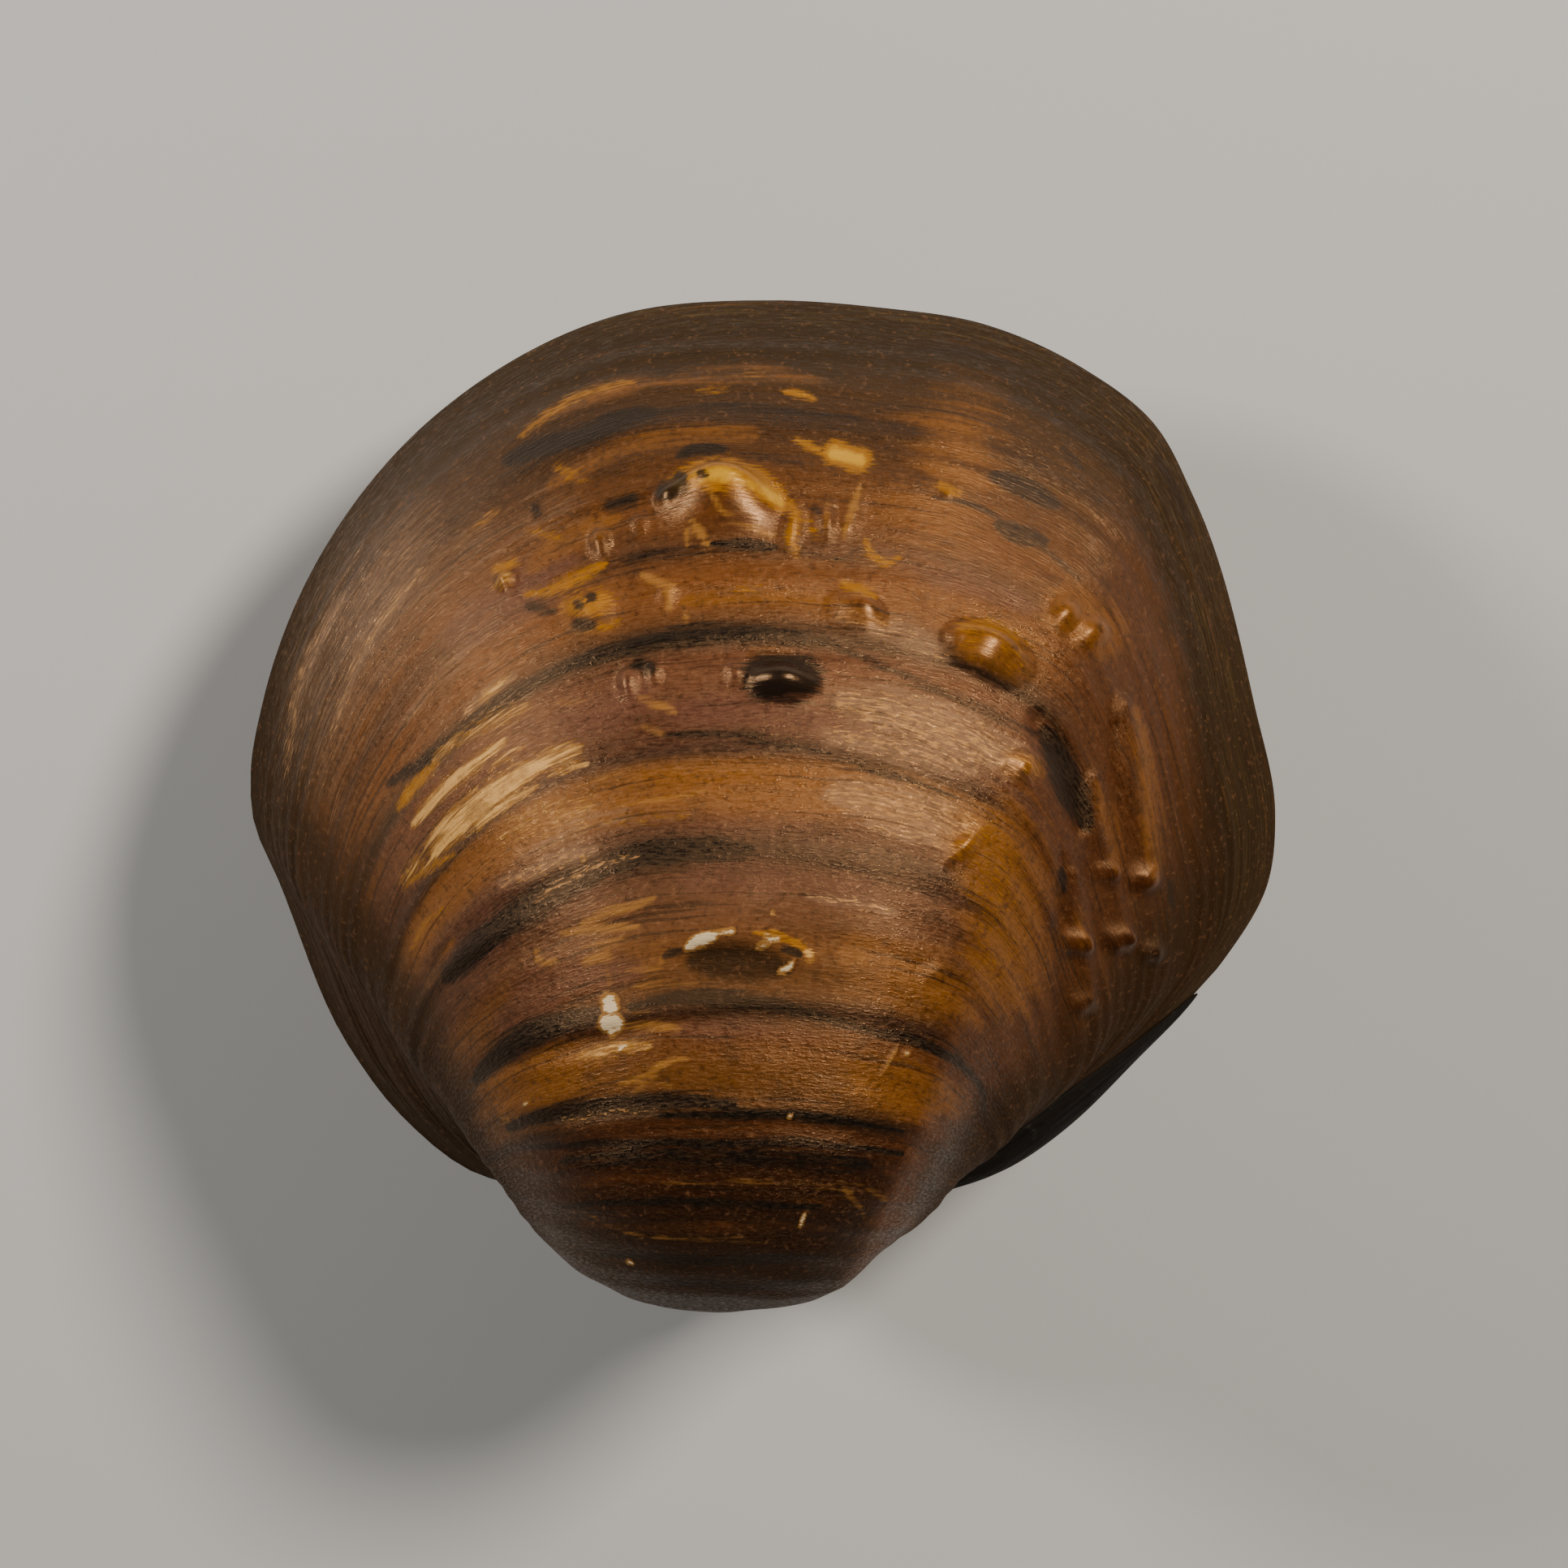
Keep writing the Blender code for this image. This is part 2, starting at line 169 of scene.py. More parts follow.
def strokeField(seen, strokes):
    # soft strokes: width, strength and the points of the middle line, in seen millimetres
    finer, endTaper = 4, 0.7
    field = np.zeros(seen.shape[:-1])
    for width, strength, *line in strokes:
        finerPlaces = np.linspace(0, len(line) - 1, finer * len(line))
        line = smoothCurve(np.arange(len(line)), np.array(line), finerPlaces)
        low, high = line.min(axis=0) - width, line.max(axis=0) + width
        near = np.all((seen > low) & (seen < high), axis=-1)
        spots = seen[near]
        steps = np.linalg.norm(np.diff(line, axis=0), axis=1)
        starts = np.cumsum(steps) - steps
        distance, along = np.full(len(spots), 1e9), np.zeros(len(spots))
        for start, end, length, before in zip(line[:-1], line[1:], steps, starts):
            t = np.clip((spots - start) @ (end - start) / length**2, 0, 1)
            gap = np.linalg.norm(spots - start - t[:, None] * (end - start), axis=1)
            closer = gap < distance
            distance[closer] = gap[closer]
            along[closer] = ((before + t * length) / steps.sum())[closer]
        half = np.full(len(spots), width / 2)
        if steps.sum() > 2 * width:  # a long stroke thins out to its ends
            half *= 0.5 + 0.5 * np.sin(np.pi * np.clip(along, 0, 1)).clip(0) ** endTaper
        soft = np.clip(1 - distance / (2 * half), 0, 1)
        field[near] = np.maximum(field[near], strength * soft * soft * (3 - 2 * soft))
    return field


def knobHeight(seen, outward, knobs):
    # a knob's crest bows towards the beak at its ends, and its two sides differ in width
    pointedness = 1.8
    height = np.zeros(seen.shape[:-1])
    for x, y, half, upper, lower, bow, rise, turn in knobs:
        right = seen[..., 0] + outward[..., 0] * rise - x  # a raised crest is seen farther out
        up = seen[..., 1] + outward[..., 1] * rise - y
        c, s = math.cos(math.radians(turn)), math.sin(math.radians(turn))
        a = (right * c + up * s) / half
        b = up * c - right * s + bow * a * a
        b = b / np.where(b > 0, upper, lower)
        height += rise * np.clip(1 - a * a - b * b, 0, 1) ** pointedness
    return height


# Relief over both valves: how far the halts in growth stray, and where it fades out
reliefForm = {
    "facing": 5,  # marks fade where the skin turns from the camera
    "wander": 0.004,  # in stages
    "restFar": 0.15,  # a rest's share far from the middle place
    "restSpread": 0.15,  # in places
    "restUneven": 0.35,
    "marginFade": 0.05,  # in stages
    "planeFade": (1, 2),  # starts at this height and is full so much higher
    "waves": {  # how many, and the most repeats in a place and in a stage
        "wander": (5, 4, 2), "rest": (3, 5, 9), "swell": (7, 7, 9),
        "ripple": (9, 6, 46)}}


def outerSurface(places, stages, look):
    form, shapes, seed = reliefForm, reliefForm["waves"], look["seed"]
    places, stages = np.broadcast_arrays(places, stages)
    points = shellSurface(places, stages)
    outward = outwardNormals(places, stages)
    seen = seenPlaces(points)
    facing = np.clip(outward[..., 2] * form["facing"], 0, 1)
    raised = knobHeight(seen, outward, look["knobs"]) * facing
    folds = strokeField(seen, look["ridges"]) - strokeField(seen, look["furrows"])
    relief = raised + folds * facing
    wander = stages + form["wander"] * waves(places, stages, *shapes["wander"], seed)
    far, uneven = form["restFar"], form["restUneven"]
    aside = (places - growthForm["middlePlace"]) / form["restSpread"]
    middle = far + (1 - far) * np.exp(-aside ** 2)
    for rest, share in look["rests"]:  # a groove and a low shoulder at each halt in growth
        t = (wander - rest) / look["restWidth"]
        patches = waves(places, rest + 0 * stages, *shapes["rest"], seed + 1)
        strength = 1 - uneven + uneven * patches
        relief += look["restHeight"] * share * middle * strength * t * np.exp(-t * t)
    relief += look["swell"] * waves(places, stages, *shapes["swell"], seed + 3)
    relief += look["ripple"] * waves(places, wander, *shapes["ripple"], seed + 4)
    low, over = form["planeFade"]
    relief *= (np.clip((1.0 - stages) / form["marginFade"], 0, 1)
               * np.clip((points[..., 2] - low) / over, 0, 1))
    points = points + outward * relief[..., None]
    points[..., 2] = np.maximum(points[..., 2], 0.0) + growthForm["gap"] / 2
    return points, seenPlaces(points), facing, raised


def innerSurface(places, shares):
    places, shares = np.broadcast_arrays(places, shares)
    pole = np.array(growthForm["hollowPole"])
    flat = pole + (innerMargin(places) - pole) * shares[..., None]
    height = growthForm["hollowDepth"] * (1.0 - shares ** growthForm["hollowBulge"])
    height += growthForm["gap"] / 2
    return np.concatenate([flat, height[..., None]], axis=-1)


def spacedPlaces(bands):
    # columns in bands of their own density: start, end and how many
    parts = [np.linspace(start, end, count, endpoint=False) for start, end, count in bands]
    return np.concatenate(parts + [[bands[-1][1]]])


def spacedStages(beakRows, bodyStart, bodyRows):
    # a few rows on the hidden beak tip, then rows equally far apart over the middle of the valve
    samples = 2000
    stages = np.linspace(bodyStart, 1.0, samples)
    points = shellSurface(np.full(samples, growthForm["middlePlace"]), stages)
    along = np.concatenate([[0.0], np.cumsum(np.linalg.norm(np.diff(points, axis=0), axis=1))])
    body = np.interp(np.linspace(0, along[-1], bodyRows), along, stages)
    beak = np.geomspace(growthForm["beakTip"], bodyStart, beakRows + 1)
    return np.concatenate([beak[:-1], body])


def lyingTurn():
    turnX, turnY = [math.radians(a) for a in growthForm["restTurn"]]
    return Matrix.Rotation(turnX, 3, "X") @ Matrix.Rotation(turnY, 3, "Y")


def lieDown(points):
    # from the shell's own frame in millimetres to the place where it lies, in metres
    placed = (points @ np.array(lyingTurn()).T + np.array(growthForm["restPlace"])) * mm
    return np.clip(placed, np.array(cadLow), np.array(cadHigh))


def newObject(name, data):
    item = bpy.data.objects.new(name, data)
    bpy.context.scene.collection.objects.link(item)
    return item


def gridMesh(name, rows, uvs, fields):
    # a grid whose first and last columns meet, warped to the rows of points
    rowCount, columnCount = rows.shape[:2]
    bm = bmesh.new()
    bmesh.ops.create_grid(bm, x_segments=columnCount - 1, y_segments=rowCount - 1, size=0.5)
    mesh = bpy.data.meshes.new(name)
    bm.to_mesh(mesh)
    bm.free()
    flat = np.empty(len(mesh.vertices) * 3)
    mesh.vertices.foreach_get("co", flat)
    flat = flat.reshape(-1, 3)
    column = np.rint((flat[:, 0] + 0.5) * (columnCount - 1)).astype(int)
    row = np.rint((flat[:, 1] + 0.5) * (rowCount - 1)).astype(int)
    mesh.vertices.foreach_set("co", rows[row, column].ravel())
    corners = np.empty(len(mesh.loops), int)
    mesh.loops.foreach_get("vertex_index", corners)
    layer = mesh.uv_layers.new(name="growth")
    layer.data.foreach_set("uv", uvs[row[corners], column[corners]].ravel())
    for fieldName, values in fields.items():
        attribute = mesh.attributes.new(fieldName, "FLOAT", "POINT")
        attribute.data.foreach_set("value", values[row, column])
    bm = bmesh.new()
    bm.from_mesh(mesh)
    bmesh.ops.remove_doubles(bm, verts=bm.verts, dist=1e-7)
    bmesh.ops.holes_fill(bm, edges=bm.edges)
    bmesh.ops.recalc_face_normals(bm, faces=bm.faces)
    bm.to_mesh(mesh)
    bm.free()
    mesh.shade_smooth()
    return newObject(name, mesh)


def linearColour(hexValue):
    channels = [int(hexValue[i:i + 2], 16) / 255 for i in (1, 3, 5)]
    linear = [c / 12.92 if c <= 0.04045 else ((c + 0.055) / 1.055) ** 2.4 for c in channels]
    return (*linear, 1.0)


def addNode(tree, kind, inputs=None, stops=(), **settings):
    # an input is a node (for its first output), an output, a hex colour or a plain value;
    # stops fill a colour ramp
    node = tree.nodes.new("ShaderNode" + kind)
    for name, value in settings.items():
        setattr(node, name, value)
    for socket, value in (inputs or {}).items():
        if isinstance(value, bpy.types.Node):
            value = value.outputs[0]
        if isinstance(value, bpy.types.NodeSocket):
            tree.links.new(value, node.inputs[socket])
        else:
            plain = linearColour(value) if isinstance(value, str) else value
            node.inputs[socket].default_value = plain
    for index, (position, colour) in enumerate(stops):
        if index > 1:
            node.color_ramp.elements.new(position)
        node.color_ramp.elements[index].position = position
        node.color_ramp.elements[index].color = linearColour(colour)
    return node


def newMaterial(name):
    material = bpy.data.materials.new(name)
    material.use_nodes = True
    material.node_tree.nodes.clear()
    return material, material.node_tree


# Periostracum: the horny protein skin of a river mussel, laid down line by line at the margin.
# It gives satin browns that run along the growth lines, and it rubs off to yellow and white.
# A step of 1 in place is about 170 mm round the margin, and 1 in stage about 95 mm up the valve.
periostracumLook = {
    "sway": (65, 3, 0.018),  # repeats in a metre, detail, stages: 0.8 mm to a side
    "growthTones": [  # stage of growth and the brown laid down then
        (0, "#140a05"), (0.31, "#221108"), (0.35, "#34190a"), (0.365, "#462512"),
        (0.375, "#2a1c12"), (0.385, "#5a3617"), (0.4, "#69401a"), (0.425, "#5d3416"),
        (0.44, "#332018"), (0.455, "#543114"), (0.48, "#6c421e"), (0.5, "#5c3822"),
        (0.525, "#523222"), (0.545, "#3a2a20"), (0.56, "#5c3a28"), (0.575, "#7e4e24"),
        (0.6, "#7c4c20"), (0.61, "#3a271e"), (0.62, "#4c2e20"), (0.65, "#68412c"),
        (0.68, "#643d27"), (0.692, "#362a20"), (0.72, "#70421e"), (0.745, "#6e3f19"),
        (0.765, "#4e301d"), (0.79, "#663a16"), (0.82, "#5a320e"), (0.85, "#48280a"),
        (0.875, "#301a06"), (0.9, "#3c2206"), (0.955, "#221604"), (1, "#1a1204")],
    "linePatterns": {  # repeats in a place, in a stage, detail, roughness
        "bands": (16, 85, 4, 0.6),  # 1.1 mm wide, 11 mm long
        "streaks": (34, 300, 6, 0.68),  # 0.3 mm wide, 5 mm long
        "dashes": (160, 540, 4, 0.65),  # 0.2 mm wide, 1 mm long
        "hairs": (7, 240, 2, 0.5)},  # single dark lines, 0.4 mm wide
    "bodyPatterns": {  # repeats in a metre, detail, roughness
        "clouds": (130, 4, 0.55),  # 8 mm
        "mottle": (420, 6, 0.65),  # 2.4 mm
        "grain": (2400, 4, 0.65)},  # 0.4 mm
    "layers": [  # colour, mark, pattern, its share, fades in from, to, strength
        # painted sheen: a pale grey-brown film on the slopes the lamps catch
        ("#80634c", "sheenAndFilm", "streaks", 2.8, 0.3, 0.95, 0.66),
        ("#5e3a2e", "mauve", "clouds", 1.2, 0.15, 0.75, 0.7),
        ("#4e280e", "russet", "bands", 0.8, 0.15, 0.8, 0.9),
        ("#7e4c18", "amber", "bands", 1.8, 0.15, 1, 0.85),
        # umber layer: dark brown that mostly paints shade where the valve turns from the lamps
        ("#100702", "umber", "clouds", 0.8, 0.15, 0.9, 0.92),
        ("#0f0a02", "olive", "mottle", 0.8, 0.2, 0.8, 0.95),
        ("#564626", "olive", "streaks", 1.8, 0.9, 1.3, 0.4),
        ("#241509", None, "bands", -1, 0.03, 0.24, 0.35),
        ("#7d4a1c", None, "bands", 1, 0.05, 0.27, 0.22),
        ("#20130a", None, "streaks", -1, 0.03, 0.22, 0.42),
        ("#8c5c30", None, "streaks", 1, 0.08, 0.28, 0.26),
        ("#1a1009", None, "hairs", -1, 0.1, 0.15, 0.6),
        ("#22140a", None, "mottle", -1, 0.03, 0.18, 0.4),
        ("#22140a", None, "grain", -1, 0.02, 0.16, 0.5),
        ("#9c6c4a", None, "grain", 1, 0.05, 0.2, 0.24),
        ("#a2690f", "ochre", "dashes", 2.3, 0.35, 1, 0.92),
        ("#d3a02a", "ochre", "mottle", 1.3, 0.95, 1.3, 0.85),
        ("#a87434", "scratch", "streaks", 1.8, 0.25, 0.95, 0.7),
        ("#0f0f0e", "charcoal", "streaks", 1.6, 0.18, 0.7, 0.94),
        # painted glints: pale dashes along the growth lines in the sheen
        ("#c89258", "sheenAndFilm", "dashes", 3.6, 0.9, 1.2, 0.66),
        ("#8f6020", "cream", "dashes", 3.4, 0.22, 0.85, 0.85),
        ("#dca962", "cream", "streaks", 3.6, 0.5, 1.1, 0.95),
        ("#7c5428", "cream", "mottle", -3.2, 1.05, 1.4, 0.5),
        ("#a07236", "chip", "dashes", 1, 0.3, 0.5, 0.7),
        ("#dcc6a0", "chip", "dashes", 1, 0.6, 0.74, 1)],
    "markFrom": 0.15,  # a mark is fully there from this strength
    "glossFibres": (0.48, 0.56),  # of the dashes: dull below, polished above
    "roughness": (0.07, 0.38),  # of polished fibres and of dull ones
    "rougher": {"olive": 0.5, "matte": 0.5, "russet": 0.12, "chip": 0.2},
    "knobRoughness": 0.28,  # knobs are rubbed smooth
    "bumps": {"dashes": 1.0, "streaks": 0.35, "hairs": 0.3, "grain": 0.5},
    "bumpDepth": 0.11,  # mm
    "bumpStrength": 0.8,
    "knobBump": 0.25,
    "refraction": 1.53,
    "specularLevel": 0.78,
    "glossTint": "#ffc894"}


def makePeriostracum(name, look):
    material, tree = newMaterial(name)
    body = addNode(tree, "TexCoord").outputs["Object"]
    growth = addNode(tree, "UVMap", uv_map="growth")
    growthPlace = addNode(tree, "SeparateXYZ", {0: growth})
    rate, detail, amount = look["sway"]
    sway = addNode(tree, "TexNoise", {"Vector": body, "Scale": rate, "Detail": detail})
    swayed = addNode(tree, "Math", {0: sway, 1: amount, 2: -amount / 2}, operation="MULTIPLY_ADD")
    stage = addNode(tree, "Math", {0: growthPlace.outputs[1], 1: swayed})
    lines = addNode(tree, "CombineXYZ", {0: growthPlace.outputs[0], 1: stage})
    tones = addNode(tree, "ValToRGB", {0: stage}, stops=look["growthTones"])

    pattern = {}
    for key, (perPlace, perStage, detail, roughness) in look["linePatterns"].items():
        stretched = addNode(tree, "VectorMath", {
            0: lines, 1: (perPlace, perStage, 1.0)}, operation="MULTIPLY")
        pattern[key] = addNode(tree, "TexNoise", {
            "Vector": stretched, "Scale": 1.0, "Detail": detail,
            "Roughness": roughness})
    for key, (rate, detail, roughness) in look["bodyPatterns"].items():
        pattern[key] = addNode(tree, "TexNoise", {
            "Vector": body, "Scale": rate, "Detail": detail, "Roughness": roughness})
    marks = {None: 0.0}
    for key in markNames:
        marks[key] = addNode(tree, "Attribute", attribute_name=key).outputs["Fac"]

    colour = tones
    for paint, mark, key, share, low, high, strength in look["layers"]:
        broken = addNode(tree, "Math", {0: pattern[key], 1: share, 2: -share / 2},
                         operation="MULTIPLY_ADD")
        edge = addNode(tree, "Math", {0: broken, 1: marks[mark]})
        cover = addNode(tree, "MapRange", {
            "Value": edge, "From Min": low, "From Max": high, "To Max": strength},
            interpolation_type="SMOOTHSTEP")
        if mark:  # nothing shows where the mark itself is absent
            present = addNode(tree, "MapRange", {
                "Value": marks[mark], "From Max": look["markFrom"]})
            cover = addNode(tree, "Math", {0: cover, 1: present}, operation="MULTIPLY")
        colour = addNode(tree, "Mix", {0: cover, 6: colour, 7: paint}, data_type="RGBA").outputs[2]

    smooth, rough = look["roughness"]
    dullUpTo, smoothFrom = look["glossFibres"]
    gloss = addNode(tree, "MapRange", {
        "Value": pattern["dashes"], "From Min": dullUpTo, "From Max": smoothFrom,
        "To Min": rough, "To Max": smooth})
    for mark, more in look["rougher"].items():
        gloss = addNode(tree, "Math", {0: marks[mark], 1: more, 2: gloss}, operation="MULTIPLY_ADD")
    gloss = addNode(tree, "MapRange", {
        "Value": marks["polish"], "To Min": gloss, "To Max": look["knobRoughness"]})
    height = marks["chip"]
    for key, share in look["bumps"].items():
        height = addNode(tree, "Math", {0: pattern[key], 1: share, 2: height},
                         operation="MULTIPLY_ADD")
    strength = addNode(tree, "MapRange", {
        "Value": marks["polish"], "To Min": look["bumpStrength"], "To Max": look["knobBump"]})
    bump = addNode(tree, "Bump", {
        "Height": height, "Strength": strength, "Distance": look["bumpDepth"] * mm})
    shader = addNode(tree, "BsdfPrincipled", {
        "Base Color": colour, "Roughness": gloss, "Normal": bump,
        "IOR": look["refraction"], "Specular IOR Level": look["specularLevel"],
        "Specular Tint": look["glossTint"]})
    addNode(tree, "OutputMaterial", {"Surface": shader})
    return material


# Nacre: the pearly lining, aragonite plates that shine white with a faint pink and green
nacreLook = {
    "tints": [(0.35, "#e9e2d6"), (0.5, "#efe6de"), (0.65, "#dfe6df")],
    "clouds": (70.0, 4.0),  # repeats in a metre, about 14 mm, and detail
    "bump": (0.2, 0.3),  # strength, mm
    "roughness": 0.22,
    "refraction": 1.6}


def makeNacre(look):
    material, tree = newMaterial("nacre")
    body = addNode(tree, "TexCoord").outputs["Object"]
    rate, detail = look["clouds"]
    clouds = addNode(tree, "TexNoise", {"Vector": body, "Scale": rate, "Detail": detail})
    tint = addNode(tree, "ValToRGB", {0: clouds}, stops=look["tints"])
    strength, depth = look["bump"]
    bump = addNode(tree, "Bump", {"Height": clouds, "Strength": strength, "Distance": depth * mm})
    shader = addNode(tree, "BsdfPrincipled", {
        "Base Color": tint, "Roughness": look["roughness"], "IOR": look["refraction"],
        "Normal": bump})
    addNode(tree, "OutputMaterial", {"Surface": shader})
    return material


# Dry ligament: a springy horny band that has gone dull and cracked across
ligamentLook = {
    "ends": (0.75, 0.878),  # places round the margin
    "counts": (90, 14),  # rows along it, and up each side
    "thickness": 1.8,
    "gap": 0.1,  # off the valves
    "reach": 0.42,  # up the valves, in stages
    "share": (0.02, 0.95),  # of a full taper, whose two tips are left off
    "taper": (1.5, 0.6),  # powers: thickest place, bluntness
    "edge": (2.5, 0.04),  # of the section: roundness, what is left at its edge
    "fullness": 0.94,
    "fibre": 0.1,
    "fibreWaves": (8, 3.0, 5.0, 5),  # how many, repeats along and across, seed
    "fibreRepeats": (6, 22, 1),  # along and round the band, 4.8 mm and 1.7 mm
    "crumbRepeats": 900.0,  # in a metre, about 1.1 mm
    "noise": (6.0, 0.7),  # detail, roughness
    "bump": (0.8, 0.2),  # strength, mm
    "tints": [(0.34, "#0b0704"), (0.56, "#17110a"), (0.78, "#33291b")],
    "crust": "#4a4438",
    "crustCover": (0.58, 0.72, 0.5),  # crumbs turn to crust from here, fully here, strength
    "specularLevel": 0.25,
    "roughness": 0.8}


def makeLigamentSkin(look):
    material, tree = newMaterial("dryHornyLigament")
    growth = addNode(tree, "UVMap", uv_map="growth")
    body = addNode(tree, "TexCoord").outputs["Object"]
    stretched = addNode(tree, "Mapping", {"Vector": growth, "Scale": look["fibreRepeats"]})
    detail, roughness = look["noise"]
    fibres = addNode(tree, "TexNoise", {
        "Vector": stretched, "Scale": 1.0, "Detail": detail, "Roughness": roughness})
    crumbs = addNode(tree, "TexNoise", {
        "Vector": body, "Scale": look["crumbRepeats"], "Detail": detail,
        "Roughness": roughness})
    tint = addNode(tree, "ValToRGB", {0: fibres}, stops=look["tints"])
    low, high, strength = look["crustCover"]
    flecks = addNode(tree, "MapRange", {
        "Value": crumbs, "From Min": low, "From Max": high, "To Max": strength})
    colour = addNode(tree, "Mix", {0: flecks, 6: tint, 7: look["crust"]}, data_type="RGBA")
    height = addNode(tree, "Math", {0: fibres, 1: crumbs})
    strength, depth = look["bump"]
    bump = addNode(tree, "Bump", {"Height": height, "Strength": strength, "Distance": depth * mm})
    shader = addNode(tree, "BsdfPrincipled", {
        "Base Color": colour.outputs[2], "Roughness": look["roughness"],
        "Specular IOR Level": look["specularLevel"], "Normal": bump})
    addNode(tree, "OutputMaterial", {"Surface": shader})
    return material


